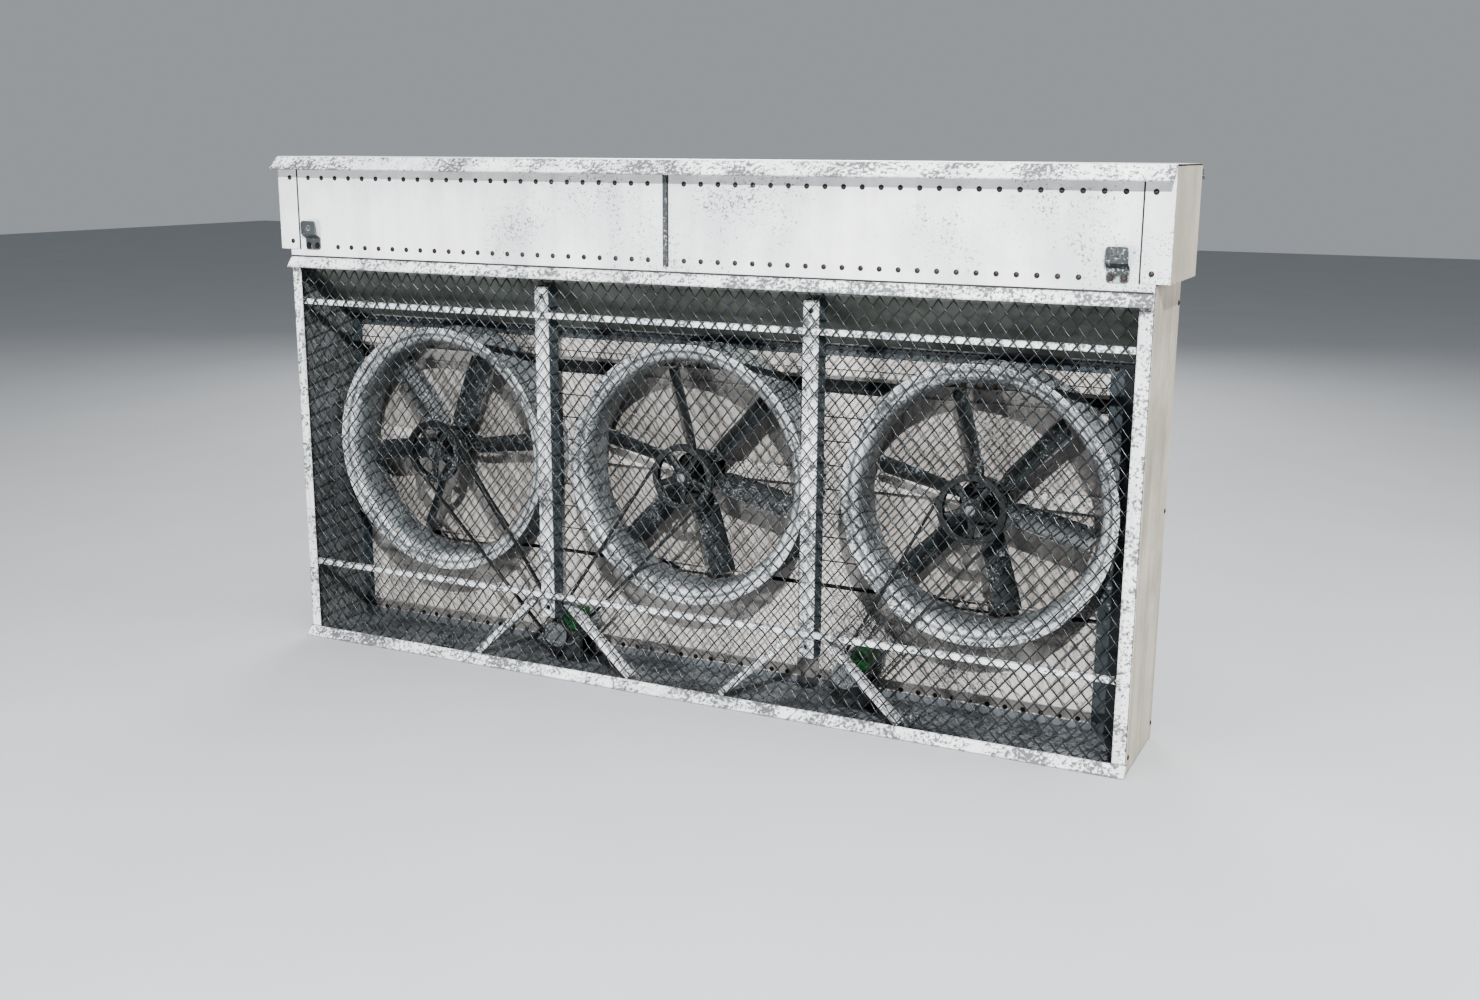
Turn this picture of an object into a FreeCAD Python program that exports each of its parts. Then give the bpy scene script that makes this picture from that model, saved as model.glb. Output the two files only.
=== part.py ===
import FreeCAD, Part
import math
import os
from FreeCAD import Vector

# A wall of three belt-driven fans in a folded sheet-metal casing, with a finned
# coolant core behind the fans and a header tank in the box above them.
# Millimetres. X runs along the front, Y from the front face to the back, Z up.
# The origin is the middle of the base.

# casing
casing_width = 3600.0
casing_depth = 430.0
sheet = 2.5
flange_width = 50.0
bend_radius = 9.0
base_lip_top = 36.0
deck_height = 1655.0
rim_height = 1661.0
rim_lip_reach = 32.0
rim_lip_drop = 44.0

# upper box
cap_height = 2070.0
cap_lip_reach = 56.0
cap_lip_drop = 52.0
corner_overhang = 45.0
corner_lap = 100.0
corner_bottom = 1692.0
rivet_pitch = 70.0
rivet_head_radius = 8.0
top_rivet_row = 1985.0
bottom_rivet_row = 1706.0

# fans, all three alike
fan_spacing = 1179.0
fan_height = 859.0
blade_count = 6
blade_chord = 106.0
blade_thickness = 4.0
blade_pitch = 42.0
blade_tip = 423.0
blade_depth = 261.0
hub_radius = 85.0
hub_width = 70.0
throat_radius = 445.0
lip_radius = 515.0
lip_depth = 141.0
cone_radius = 488.0
cone_depth = 366.0
shaft_radius = 17.5
running_gap = 0.05

# belt drive
fan_pulley_radius = 130.0
motor_pulley_radius = 52.0
groove_depth = 10.0
groove_width = 13.0
belt_gap = 0.3
first_groove = 113.0
second_groove = 130.5

# motors
motor_radius = 60.0
motor_fin = 8.0
motor_front = 170.0
motor_back = 362.0
motor_shaft_radius = 12.0
terminal_box_width = 66.0

# wall that carries the cowls, and the core behind it
wall_depth = 370.0
wall_opening = 484.0
cowl_clearance = 508.0
beam_depth = 22.0
beam_sheet = 3.0
bearing_beam_height = 64.0
plank_start = 434.0
plank_pitch = 96.0
plank_count = 8
plank_slot = 5.0
right_corner = 1590.0
left_corner = 1746.0
core_depth = 396.0
core_thickness = 30.0
core_half_width = 1735.0
core_bottom = 332.0
core_top = 1370.0

# guard mesh
wire_radius = 2.5
cell_width = 54.0
cell_height = 65.0
mesh_depth = 5.6
mesh_rail_front = 14.0
mesh_rail_tops = [344.0, 1484.0]
post_offset = 576.0
post_width = 63.0
post_front = 34.0
post_back = 102.0
post_top = 1583.0
brace_width = 29.0
brace_web = 38.0
brace_sheet = 3.0

# brackets and lugs the casing is lifted and tied down by
bracket_x = 1674.0
bracket_width = 76.0
bracket_bottom = 1692.0
bracket_top = 1811.0
bracket_hole_z = 1782.0
bracket_hole_radius = 11.0
bracket_plate = 4.0
lug_width = 66.0
lug_top = 96.0
lug_places = [-1089.0, 1012.0]

# core pieces
fin_pitch = 12.0
fin_count = 86
fin_thickness = 2.0
tube_pitch = 40.0
tube_count = 87
tube_radius = 8.0
header_wall = 3.0

# header tank and pipes
tank_bottom = 1720.0
tank_top = 1950.0
tank_front = 90.0
tank_back = 340.0
tank_half_length = 1640.0
tank_wall = 3.0
riser_places = [-1441.0, -601.0, 601.0, 1441.0]
riser_depth = 409.0
riser_radius = 17.0
riser_bore = 14.0
riser_bend = 40.0
riser_top = 1800.0
pipe_radius = 30.0
pipe_bore = 27.0
inlet_x = 1500.0
inlet_z = 1840.0
outlet_x = -1500.0
outlet_z = 288.0
flange_radius = 70.0
flange_thickness = 14.0
flange_pcd = 110.0
flange_hole_radius = 9.0
flange_back = 478.0

# how each fan differs: blade hand, angle of its first blade, its motor and its groove
fan_hands = [1, -1, -1]
fan_first_angles = [8.0, 46.0, 46.0]
fan_motors = [0, 0, 1]
fan_grooves = [first_groove, second_groove, first_groove]
motor_places = [(-585.0, 140.0), (710.0, 162.0)]

fan_centres = [-fan_spacing, 0.0, fan_spacing]
half_width = casing_width / 2
box_half_width = half_width + corner_overhang


def at(x, depth, z):
    """A point at a depth behind the front face."""
    return Vector(x, depth - casing_depth / 2, z)


def block(x0, x1, d0, d1, z0, z1):
    return Part.makeBox(x1 - x0, d1 - d0, z1 - z0, at(x0, d0, z0))


def bar(x, d0, d1, z, radius):
    """A round bar along the depth."""
    return Part.makeCylinder(radius, d1 - d0, at(x, d0, z), Vector(0, 1, 0))


def upright(x, depth, z0, z1, radius):
    """A round bar along the height."""
    return Part.makeCylinder(radius, z1 - z0, at(x, depth, z0))


def thicken(points, thickness):
    """The closed outline of a strip whose left edge is the given open path."""
    normals = []
    for (u0, v0), (u1, v1) in zip(points, points[1:]):
        length = math.hypot(u1 - u0, v1 - v0)
        normals.append(((v1 - v0) / length, -(u1 - u0) / length))
    joints = [normals[0]]
    for before, after in zip(normals, normals[1:]):
        turn = 1 + before[0] * after[0] + before[1] * after[1]
        joints.append(((before[0] + after[0]) / turn, (before[1] + after[1]) / turn))
    joints.append(normals[-1])
    far = [(u + n[0] * thickness, v + n[1] * thickness) for (u, v), n in zip(points, joints)]
    return points + far[::-1]


def prism(corners, sweep):
    return Part.Face(Part.makePolygon(corners + corners[:1])).extrude(sweep)


def fold_along_x(path, x0, x1, thickness=sheet):
    """Sheet folded to a path of (depth, height) points."""
    corners = [at(x0, d, z) for d, z in thicken(path, thickness)]
    return prism(corners, Vector(x1 - x0, 0, 0))


def fold_along_z(path, z0, z1, thickness=sheet):
    """Sheet folded to a path of (x, depth) points."""
    corners = [at(x, d, z0) for x, d in thicken(path, thickness)]
    return prism(corners, Vector(0, 0, z1 - z0))


def mirrored(shape):
    return shape.mirror(Vector(0, 0, 0), Vector(1, 0, 0))


def fuse(shapes):
    whole = shapes[0].multiFuse(shapes[1:]) if len(shapes) > 1 else shapes[0]
    return whole.removeSplitter()


def cut_fan_openings(shape, radius):
    openings = [bar(x, 0, casing_depth, fan_height, radius) for x in fan_centres]
    return shape.cut(Part.makeCompound(openings))


def rivet(x, depth, z, facing=-1):
    """A domed rivet: facing -1 has its head in front of the sheet, 1 behind it."""
    outward = Vector(0, facing, 0)
    seat = at(x, depth, z)
    head = Part.makeCone(rivet_head_radius, rivet_head_radius * 0.55, 4.0, seat, outward)
    shank = Part.makeCylinder(3.2, 6.0, seat, outward * -1)
    return fuse([head, shank])


def rivet_row(xs, depth, z, facing=-1):
    return [rivet(x, depth, z, facing) for x in xs]


def steps(first, pitch, count):
    return [first + pitch * i for i in range(count)]


# ---- lower casing ----

def bottom_pan():
    inner = half_width - sheet - 0.5
    upstand = fold_along_x([(casing_depth - sheet, 60), (casing_depth - sheet, 0), (0, 0),
                            (0, base_lip_top)], -inner, inner)
    lip = fold_along_x([(sheet, base_lip_top), (0, base_lip_top),
                        (-base_lip_top + 4, 0)], -half_width - 4, half_width + 4)
    below = block(-half_width - 10, half_width + 10, -60, casing_depth, -20, 0)
    bend = inner - bend_radius
    corners = [block(x, x + 2 * bend_radius, casing_depth - bend_radius - sheet, casing_depth, -1, 61)
               for x in (bend, -bend - 2 * bend_radius)]
    return fuse([upstand, lip]).cut(below).cut(Part.makeCompound(corners))


def side_panel():
    path = [(half_width - flange_width, casing_depth), (half_width, casing_depth),
            (half_width, 0), (half_width - flange_width, 0)]
    panel = fold_along_z(path, 0, corner_bottom - 2)
    for radius, inset in ((bend_radius, 0), (bend_radius - sheet, sheet)):
        corners = [edge for edge in panel.Edges
                   if abs(edge.CenterOfMass.x - (half_width - inset)) < 0.1
                   and edge.BoundBox.ZLength > 100]
        panel = panel.makeFillet(radius, corners)
    front_notch = block(half_width - 60, half_width - sheet, -1, 20, -1, base_lip_top + sheet + 1)
    lip_notch = block(half_width - 60, half_width + 1, -1, bend_radius + 1, -1,
                      base_lip_top + sheet + 1)
    top_notch = block(half_width - 60, half_width - sheet, -1, casing_depth + 1,
                      deck_height, corner_bottom)
    return panel.cut(front_notch).cut(lip_notch).cut(top_notch)


def rim_drip_lip():
    path = [(sheet * 2, rim_height + 30), (sheet * 2, rim_height - sheet),
            (0, rim_height - sheet), (-rim_lip_reach, rim_height - rim_lip_drop)]
    return fold_along_x(path, -half_width + sheet + 0.5, half_width - sheet - 0.5)


def upper_deck():
    inner = half_width - sheet - 0.5
    deck = block(-inner, inner, sheet * 2, casing_depth - sheet - 1, deck_height, deck_height + sheet)
    for x in riser_places:
        deck = deck.cut(upright(x, riser_depth, deck_height - 1, deck_height + 5, riser_radius + 1))
    return deck


def back_sill_panel():
    inner = half_width - flange_width - 1
    return block(-inner, inner, casing_depth - sheet, casing_depth, 62, 240)


# ---- upper box ----

def front_panel():
    return block(2, half_width - sheet - 0.6, 0, sheet, rim_height + 0.5, cap_height - 3)


def seam_batten():
    outline = [(-9, 0), (-6, -6), (6, -6), (9, 0)]
    return prism([at(x, d, 1683) for x, d in outline], Vector(0, 0, 327))


def corner_box():
    outer = box_half_width
    path = [(outer - corner_lap, casing_depth + sheet), (outer, casing_depth + sheet),
            (outer, -sheet), (outer - corner_lap, -sheet)]
    shell = fold_along_z(path, corner_bottom, cap_height - 3.5)
    sole = block(half_width + 1, outer - 1, -sheet + 1, casing_depth + 1, corner_bottom,
                 corner_bottom + sheet)
    shell = fuse([shell, sole])
    nose = 26.0
    for d in (-sheet - 1, casing_depth - 1):
        square = block(outer - corner_lap - 1, outer - corner_lap + nose, d, d + sheet + 3,
                       corner_bottom - 1, corner_bottom + nose)
        keep = bar(outer - corner_lap + nose, d, d + sheet + 3, corner_bottom + nose, nose)
        shell = shell.cut(square.cut(keep))
    return shell


def top_cap():
    path = [(-cap_lip_reach, cap_height - cap_lip_drop), (0, cap_height),
            (casing_depth, cap_height), (casing_depth + cap_lip_reach, cap_height - cap_lip_drop)]
    return fold_along_x(path[::-1], -box_half_width, box_half_width)


def upper_back_panel():
    inner = half_width - sheet - 0.6
    panel = block(-inner, inner, casing_depth - sheet, casing_depth, corner_bottom, cap_height - 3)
    lower = block(-inner + flange_width, inner - flange_width, casing_depth - sheet, casing_depth,
                  core_top + 66, corner_bottom)
    hole = bar(inlet_x, casing_depth - 10, casing_depth + 10, inlet_z, pipe_radius + 1)
    return fuse([panel, lower]).cut(hole)


def panel_rivets():
    """Every rivet and round-headed bolt of the casing, front and back."""
    rivets = []
    for side in (-1, 1):
        top_row = [side * x for x in steps(76, rivet_pitch, 24)]
        bottom_row = [side * x for x in steps(76, rivet_pitch, 22)]
        rivets += rivet_row(top_row, 0, top_rivet_row)
        rivets += rivet_row(bottom_row, 0, bottom_rivet_row)
        rivets += rivet_row(top_row, casing_depth, top_rivet_row, 1)
        rivets += rivet_row(bottom_row, casing_depth, bottom_rivet_row, 1)
        for z in (bottom_rivet_row + 19, top_rivet_row):
            rivets.append(rivet(side * (half_width - 18), -sheet, z))
            rivets.append(rivet(side * (half_width - 18), casing_depth + sheet, z, 1))
    sill_row = steps(-1680, rivet_pitch * 2, 25)
    rivets += rivet_row(sill_row, casing_depth, 90, 1)
    return rivets


def side_rivets():
    """Round-headed bolts near the back edge and the corners of each side."""
    rivets = []
    for side in (-1, 1):
        for d, z in ((28, 60), (casing_depth - 26, 60), (casing_depth - 26, 860),
                     (casing_depth - 26, 1600)):
            outward = Vector(side, 0, 0)
            seat = at(side * half_width, d, z)
            head = Part.makeCone(rivet_head_radius, 4.4, 4.0, seat, outward)
            shank = Part.makeCylinder(3.2, 6.0, seat, outward * -1)
            rivets.append(fuse([head, shank]))
    return rivets


# ---- lifting brackets and lugs ----

def rounded_plate(width, d0, d1, z0, z1, radius, x):
    """An upright plate with its corners rounded in the front view."""
    plate = block(x - width / 2, x + width / 2, d0, d1, z0, z1)
    edges = [e for e in plate.Edges if e.BoundBox.YLength > (d1 - d0) / 2]
    return plate.makeFillet(radius, edges)


def hanging_bracket(x):
    path = [(0, bracket_bottom), (0, 1738), (-28, 1757), (-28, bracket_top + 1)]
    half = bracket_width / 2
    body = fold_along_x([(d - bracket_plate, z) for d, z in path], x - half, x + half, bracket_plate)
    outline = rounded_plate(bracket_width, -60, 20, bracket_bottom, bracket_top, 13, x)
    hole = bar(x, -60, 20, bracket_hole_z, bracket_hole_radius)
    return body.common(outline).cut(hole)


def bracket_bolts():
    bolts = []
    for side in (-1, 1):
        for offset in (-22, 22):
            x = side * bracket_x + offset
            seat = at(x, -bracket_plate, 1710)
            corners = [seat + Vector(8 * math.cos(a), 0, 8 * math.sin(a))
                       for a in [math.radians(60 * i) for i in range(6)]]
            head = prism(corners, Vector(0, -6, 0))
            shank = Part.makeCylinder(4, 12, seat, Vector(0, 1, 0))
            bolts.append(fuse([head, shank]))
    return bolts


def pan_lug(x):
    half = lug_width / 2
    path = [(66, sheet + 0.1), (26, sheet + 0.1), (26, lug_top)]
    lug = fold_along_x(path, x - half, x + half, bracket_plate)
    foot = block(x - half, x + half, 20, 80, 0, 20)
    outline = fuse([rounded_plate(lug_width, 20, 40, -20, lug_top, 13, x), foot])
    hole = bar(x, 0, 60, 62, 9)
    return lug.common(outline).cut(hole)


# ---- guard mesh and its frame ----

def mesh_wires():
    """Two crossed layers of straight wires that make a diamond mesh."""
    x_end = half_width - 8
    z0 = 4.0
    z1 = rim_height - 8
    rise = cell_height / cell_width
    wires = []
    for layer, slope in enumerate((rise, -rise)):
        depth = mesh_depth + layer * (2 * wire_radius + 0.1)
        span = (z1 - z0) / rise
        count = int((2 * x_end + span) / cell_width) + 1
        for i in range(count):
            foot = -x_end - span + cell_width * (i + 0.5)
            start = max(foot, -x_end)
            end = min(foot + span, x_end)
            if end - start < cell_width:
                continue
            low = z0 + (start - foot) * rise
            high = z0 + (end - foot) * rise
            if slope < 0:
                low, high = z1 + z0 - low, z1 + z0 - high
            line = at(end, depth, high) - at(start, depth, low)
            wires.append(Part.makeCylinder(wire_radius, line.Length, at(start, depth, low), line))
    return wires


def mesh_rail(top):
    face = mesh_rail_front + 3
    path = [(33, top), (face, top), (face, top - 17), (mesh_rail_front, top - 23)]
    return fold_along_x(path[::-1], -half_width + sheet + 1, half_width - sheet - 1)


def mesh_post(x):
    half = post_width / 2
    path = [(x + half, post_back), (x + half, post_front), (x - half, post_front),
            (x - half, post_back)]
    post = fold_along_z(path, 234, post_top, 3.0)
    for z in (276, 1545):
        post = post.cut(bar(x, 20, 60, z, 9))
    return post


def post_braces(x):
    """The two angle legs that carry a post down to the pan."""
    legs = []
    for side in (-1, 1):
        top = Vector(x + side * 74, 0, 300)
        foot = Vector(x + side * 372, 0, 24)
        along = (foot - top).normalize()
        across = Vector(-along.z, 0, along.x)
        if across.x < 0:
            across = across * -1
        length = (foot - top).Length
        thick = Vector(0, brace_sheet, 0)
        reach = Vector(0, brace_web, 0)
        edge = at(top.x, 48, top.z) - across * (brace_width / 2)
        far = edge + across * brace_width
        face = prism([edge, far, far + thick, edge + thick], along * length)
        near = far - across * brace_sheet
        rib = prism([near, far, far + reach, near + reach], along * length)
        leg = fuse([face, rib])
        floor = block(-half_width, half_width, 0, casing_depth, -100, sheet)
        shoe = block(foot.x - 26, foot.x + 26, 48, 88, sheet, sheet + 4)
        legs.append(fuse([leg.cut(floor), shoe]))
    return legs


# ---- fan wall ----

def sloping_ceiling():
    path = [(88, deck_height - 1), (88, 1597), (366, 1390)]
    return fold_along_x(path[::-1], -half_width + sheet + 1, half_width - sheet - 1)


def wall_strip(z0, z1, depth=wall_depth, opening=wall_opening):
    inner = half_width - sheet - 1
    strip = block(-inner, inner, depth, depth + sheet, z0, z1)
    if depth < wall_depth:
        strip = block(-left_corner + 1, right_corner - 1, depth, depth + sheet, z0, z1)
    return cut_fan_openings(strip, opening)


def wall_planks():
    planks = []
    for z in steps(plank_start, plank_pitch, plank_count):
        planks += wall_strip(z, z + plank_pitch - plank_slot).Solids
    return planks


def lower_wall_panel():
    return wall_strip(sheet + 0.5, plank_start - 16).Solids


def upper_wall_strips():
    return wall_strip(1251, 1288, wall_depth - 4.5, cowl_clearance).Solids + wall_strip(1291, 1342).Solids


def riveted_wall_angle():
    path = [(392, 1379), (364, 1379), (364, 1345)]
    angle = fold_along_x(path[::-1], -half_width + sheet + 1, half_width - sheet - 1)
    return cut_fan_openings(angle, cowl_clearance)


def wall_beams():
    """Channels behind the wall: one above and one below the planks, one at the bearings."""
    inner = half_width - flange_width - 60
    beams = []
    near = wall_depth + 3
    far = wall_depth + beam_depth
    for z0, z1 in ((1198, 1254), (410, 440)):
        path = [(near, z1), (far, z1), (far, z0), (near, z0)]
        beams.append(fold_along_x(path, -inner, inner, beam_sheet))
    z0 = fan_height - bearing_beam_height / 2
    z1 = fan_height + bearing_beam_height / 2
    path = [(far, z0), (near, z0), (near, z1), (far, z1)]
    beams.append(fold_along_x(path, -inner, inner, beam_sheet))
    return beams


def wall_corner_plates():
    plates = []
    for x0, x1 in ((right_corner, half_width - 4), (4 - half_width, -left_corner)):
        plate = block(x0, x1, wall_depth - 3.2, wall_depth - 0.2, sheet + 1, 1344)
        plates += cut_fan_openings(plate, cowl_clearance).Solids
    return plates


def wall_rivets():
    """Bolts along the foot of the wall and along the angle at its top."""
    rivets = rivet_row(steps(-1750, rivet_pitch, 51), wall_depth, 42)
    for x in steps(-1750, rivet_pitch, 51):
        if all(abs(x - fan) > 190 for fan in fan_centres):
            rivets.append(rivet(x, 364, 1362))
    return rivets


# ---- coolant core, header tank and pipes ----

def core_fins():
    """Level plates that stand for the packed fins."""
    half = core_half_width
    return [block(-half, half, core_depth, core_depth + core_thickness, z, z + fin_thickness)
            for z in steps(core_bottom + 4, fin_pitch, fin_count)]


def core_tubes():
    middle = core_depth + core_thickness / 2
    first = -tube_pitch * (tube_count - 1) / 2
    tubes = []
    for x in steps(first, tube_pitch, tube_count):
        tube = upright(x, middle, core_bottom, core_top, tube_radius)
        bore = upright(x, middle, core_bottom - 1, core_top + 1, tube_radius - 1.5)
        tubes.append(tube.cut(bore))
    return tubes


def core_headers():
    """The closed boxes that join the tubes above and below."""
    half = core_half_width + 7
    front = core_depth - header_wall
    back = core_depth + core_thickness + 0.5
    headers = []
    for z0, z1 in ((core_bottom - 84, core_bottom - 0.2), (core_top + 0.2, core_top + 60)):
        outer = block(-half, half, front, back, z0, z1)
        inner = block(header_wall - half, half - header_wall, front + header_wall, back - header_wall,
                      z0 + header_wall, z1 - header_wall)
        headers.append(outer.cut(inner))
    outlet = bar(outlet_x, 410, 440, outlet_z, pipe_bore + 1.5)
    ports = [upright(x, riser_depth, core_top + 50, core_top + 70, riser_bore) for x in riser_places]
    return [headers[0].cut(outlet), headers[1].cut(Part.makeCompound(ports))]


def header_tank():
    half = tank_half_length
    tank = block(-half, half, tank_front, tank_back, tank_bottom, tank_top)
    tank = tank.makeFillet(24, [e for e in tank.Edges if e.BoundBox.XLength > 1000])
    wall = tank_wall
    hollow = block(wall - half, half - wall, tank_front + wall, tank_back - wall,
                   tank_bottom + wall, tank_top - wall)
    hollow = hollow.makeFillet(24 - wall, [e for e in hollow.Edges if e.BoundBox.XLength > 1000])
    tank = tank.cut(hollow)
    tank = tank.cut(bar(inlet_x, tank_back - 20, tank_back + 10, inlet_z, pipe_bore + 1.5))
    for x in riser_places:
        tank = tank.cut(bar(x, tank_back - 20, tank_back + 10, riser_top, riser_bore))
    return tank


def riser_pipe(x):
    """A pipe from the upper core header, up through the deck and into the tank."""
    solids = []
    for radius in (riser_radius, riser_bore):
        foot = upright(x, riser_depth, core_top + 60.2, riser_top - riser_bend, radius)
        ring = Part.makeTorus(riser_bend, radius, at(x, riser_depth - riser_bend, riser_top - riser_bend),
                              Vector(1, 0, 0))
        corner = block(x - 30, x + 30, riser_depth - riser_bend, riser_depth + 30,
                       riser_top - riser_bend, riser_top + 30)
        level = bar(x, tank_back + 0.2, riser_depth - riser_bend, riser_top, radius)
        solids.append(fuse([foot, ring.common(corner), level]))
    return solids[0].cut(solids[1])


def pipe_stub(x, z, start):
    """A pipe end with a drilled flange behind the casing."""
    flange_front = flange_back - flange_thickness
    stub = bar(x, start, flange_back, z, pipe_radius)
    flange = bar(x, flange_front, flange_back, z, flange_radius)
    stub = fuse([stub, flange]).cut(bar(x, start - 1, flange_back + 1, z, pipe_bore))
    for i in range(4):
        angle = math.radians(45 + 90 * i)
        hole_x = x + flange_pcd / 2 * math.cos(angle)
        hole_z = z + flange_pcd / 2 * math.sin(angle)
        stub = stub.cut(bar(hole_x, flange_front - 1, flange_back + 1, hole_z, flange_hole_radius))
    return stub


def tank_saddles():
    saddles = []
    for x in (-1300, 0, 1300):
        path = [(100, tank_bottom - 0.2), (100, deck_height + sheet + 0.2),
                (330, deck_height + sheet + 0.2), (330, tank_bottom - 0.2)]
        saddles.append(fold_along_x(path[::-1], x - 40, x + 40, 4.0))
    return saddles


# ---- fans ----

def cowl(x):
    """A spun ring: bell mouth, straight throat, and a cone that widens to the wall."""
    bell = lip_radius - throat_radius
    centre = Vector(0, lip_depth + bell, lip_radius)

    def point(depth, radius):
        return Vector(0, depth, radius)

    def bell_arc(radius, start, end):
        middle = math.radians((start + end) / 2)
        points = [centre + Vector(0, math.cos(a), math.sin(a)) * radius
                  for a in (math.radians(start), middle, math.radians(end))]
        return Part.Arc(*points).toShape()

    throat_start = lip_depth + bell
    throat_end = throat_start + 86
    skin = sheet
    flange_edge = cone_radius + 18
    corners = [point(throat_start, throat_radius), point(throat_end, throat_radius),
               point(cone_depth, cone_radius), point(cone_depth, flange_edge),
               point(cone_depth - skin, flange_edge), point(cone_depth - skin, cone_radius + skin),
               point(throat_end, throat_radius + skin), point(throat_start, throat_radius + skin)]
    edges = [bell_arc(bell, 180, 270)]
    for start, end in zip(corners, corners[1:]):
        edges.append(Part.LineSegment(start, end).toShape())
    edges.append(bell_arc(bell - skin, 270, 180))
    lip_edge = Part.LineSegment(point(lip_depth + skin, lip_radius), point(lip_depth, lip_radius))
    edges.append(lip_edge.toShape())
    profile = Part.Face(Part.Wire(Part.__sortEdges__(edges)))
    ring = profile.revolve(Vector(0, 0, 0), Vector(0, 1, 0), 360)
    bead = Part.makeTorus(lip_radius + 1, 5.5, Vector(0, lip_depth + 4.5, 0), Vector(0, 1, 0))
    whole = fuse([ring, bead])
    whole.translate(at(x, 0, fan_height))
    return whole


def pulley(x, z, middle, radius, width, bore, grooves):
    """A grooved wheel. Large ones are cast with five openings around a hub."""
    wheel = bar(x, middle - width / 2, middle + width / 2, z, radius)
    if radius > 100:
        for end in (middle - width / 2 - 1, middle + 4):
            recess = bar(x, end, end + width / 2 - 3, z, radius - 22)
            wheel = wheel.cut(recess.cut(bar(x, end, end + width, z, 40)))
        boss = bar(x, middle - width / 2 - 4, middle + width / 2 + 8, z, 36)
        wheel = fuse([wheel, boss])
        for i in range(5):
            angle = math.radians(90 + 72 * i)
            reach = radius * 0.565
            window = bar(x + reach * math.cos(angle), middle - width, middle + width,
                         z + reach * math.sin(angle), 28)
            wheel = wheel.cut(window)
    for groove in grooves:
        ring = bar(x, groove - groove_width / 2, groove + groove_width / 2, z, radius + 1)
        core = bar(x, groove - groove_width, groove + groove_width, z, radius - groove_depth)
        wheel = wheel.cut(ring.cut(core))
    return wheel.cut(bar(x, middle - 60, middle + 60, z, bore))


def fan_shaft(x, groove):
    return bar(x, groove - 20, 371, fan_height, shaft_radius)


def fan_hub(x):
    start = blade_depth - hub_width / 2
    hub = bar(x, start, start + hub_width, fan_height, hub_radius)
    dish = bar(x, start - 1, start + 22, fan_height, hub_radius - 10)
    dish = dish.cut(bar(x, start - 1, start + 22, fan_height, 38))
    hub = hub.cut(dish)
    return hub.cut(bar(x, start - 1, start + hub_width + 1, fan_height, shaft_radius + running_gap))


def fan_blades(x, hand, first_angle):
    """Flat blades, pitched one way or the other by hand."""
    blades = []
    around = Vector(0, 1, 0)
    for i in range(blade_count):
        plate = Part.makeBox(blade_tip - hub_radius + 4, blade_thickness, blade_chord,
                             Vector(hub_radius - 4, -blade_thickness / 2, -blade_chord / 2))
        plate = plate.makeFillet(9, [e for e in plate.Edges if e.BoundBox.YLength > 3
                                     and e.CenterOfMass.x > blade_tip - 5])
        plate.rotate(Vector(0, 0, 0), Vector(1, 0, 0), hand * blade_pitch)
        plate = plate.cut(Part.makeCylinder(hub_radius + 0.05, 400, Vector(0, -200, 0), around))
        plate.rotate(Vector(0, 0, 0), around, -(first_angle + 60 * i))
        plate.translate(at(x, blade_depth, fan_height))
        blades.append(plate)
    return blades


def bearing_cartridge(x):
    foot = block(x - 62, x + 62, wall_depth - 7, wall_depth + 2.8, fan_height - 30, fan_height + 30)
    barrel = bar(x, 306, wall_depth - 5, fan_height, 42)
    shell = fuse([foot, barrel])
    return shell.cut(bar(x, 300, 380, fan_height, 36))


def ball_bearings(x):
    rings = []
    for start in (310, 348):
        ring = bar(x, start, start + 17, fan_height, 35.98)
        rings.append(ring.cut(bar(x, start - 1, start + 18, fan_height, shaft_radius + running_gap)))
    return rings


def belt(x1, z1, x2, z2, groove):
    """A closed belt round a fan pulley and a motor pulley."""
    heading = math.atan2(z2 - z1, x2 - x1)
    apart = math.hypot(x2 - x1, z2 - z1)
    lean = math.acos((fan_pulley_radius - motor_pulley_radius) / apart)
    half = groove_width / 2 - belt_gap

    def loop(inset):
        big = fan_pulley_radius - inset
        small = motor_pulley_radius - inset

        def rim(x, z, radius, angle):
            return at(x + radius * math.cos(angle), groove - half, z + radius * math.sin(angle))

        big_arc = Part.Arc(rim(x1, z1, big, heading + lean), rim(x1, z1, big, heading + math.pi),
                           rim(x1, z1, big, heading - lean))
        small_arc = Part.Arc(rim(x2, z2, small, heading - lean), rim(x2, z2, small, heading),
                             rim(x2, z2, small, heading + lean))
        curves = [big_arc, small_arc]
        for angle in (heading + lean, heading - lean):
            curves.append(Part.LineSegment(rim(x1, z1, big, angle), rim(x2, z2, small, angle)))
        wire = Part.Wire(Part.__sortEdges__([curve.toShape() for curve in curves]))
        return Part.Face(wire).extrude(Vector(0, 2 * half, 0))

    return loop(0.7).cut(loop(groove_depth - belt_gap))


# ---- motors ----

def motor_housing(x, z):
    """A finned case, open inside for the stator, with a bore at the front for the shaft."""
    case = bar(x, motor_front + 8, motor_back - 22, z, motor_radius)
    ribs = []
    for i in range(28):
        rib = block(x - 1.6, x + 1.6, motor_front + 14, motor_back - 30, z + motor_radius - 3,
                    z + motor_radius + motor_fin)
        rib.rotate(at(x, 0, z), Vector(0, 1, 0), 360 / 28 * i)
        ribs.append(rib)
    front_shield = bar(x, motor_front, motor_front + 14, z, motor_radius + 5)
    fan_cover = bar(x, motor_back - 32, motor_back, z, motor_radius + 7)
    case = fuse([case, front_shield, fan_cover] + ribs)
    case = case.cut(bar(x, motor_front + 12, motor_back - 6, z, motor_radius - 8))
    return case.cut(bar(x, motor_front - 1, motor_front + 13, z, motor_shaft_radius + running_gap))


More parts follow.
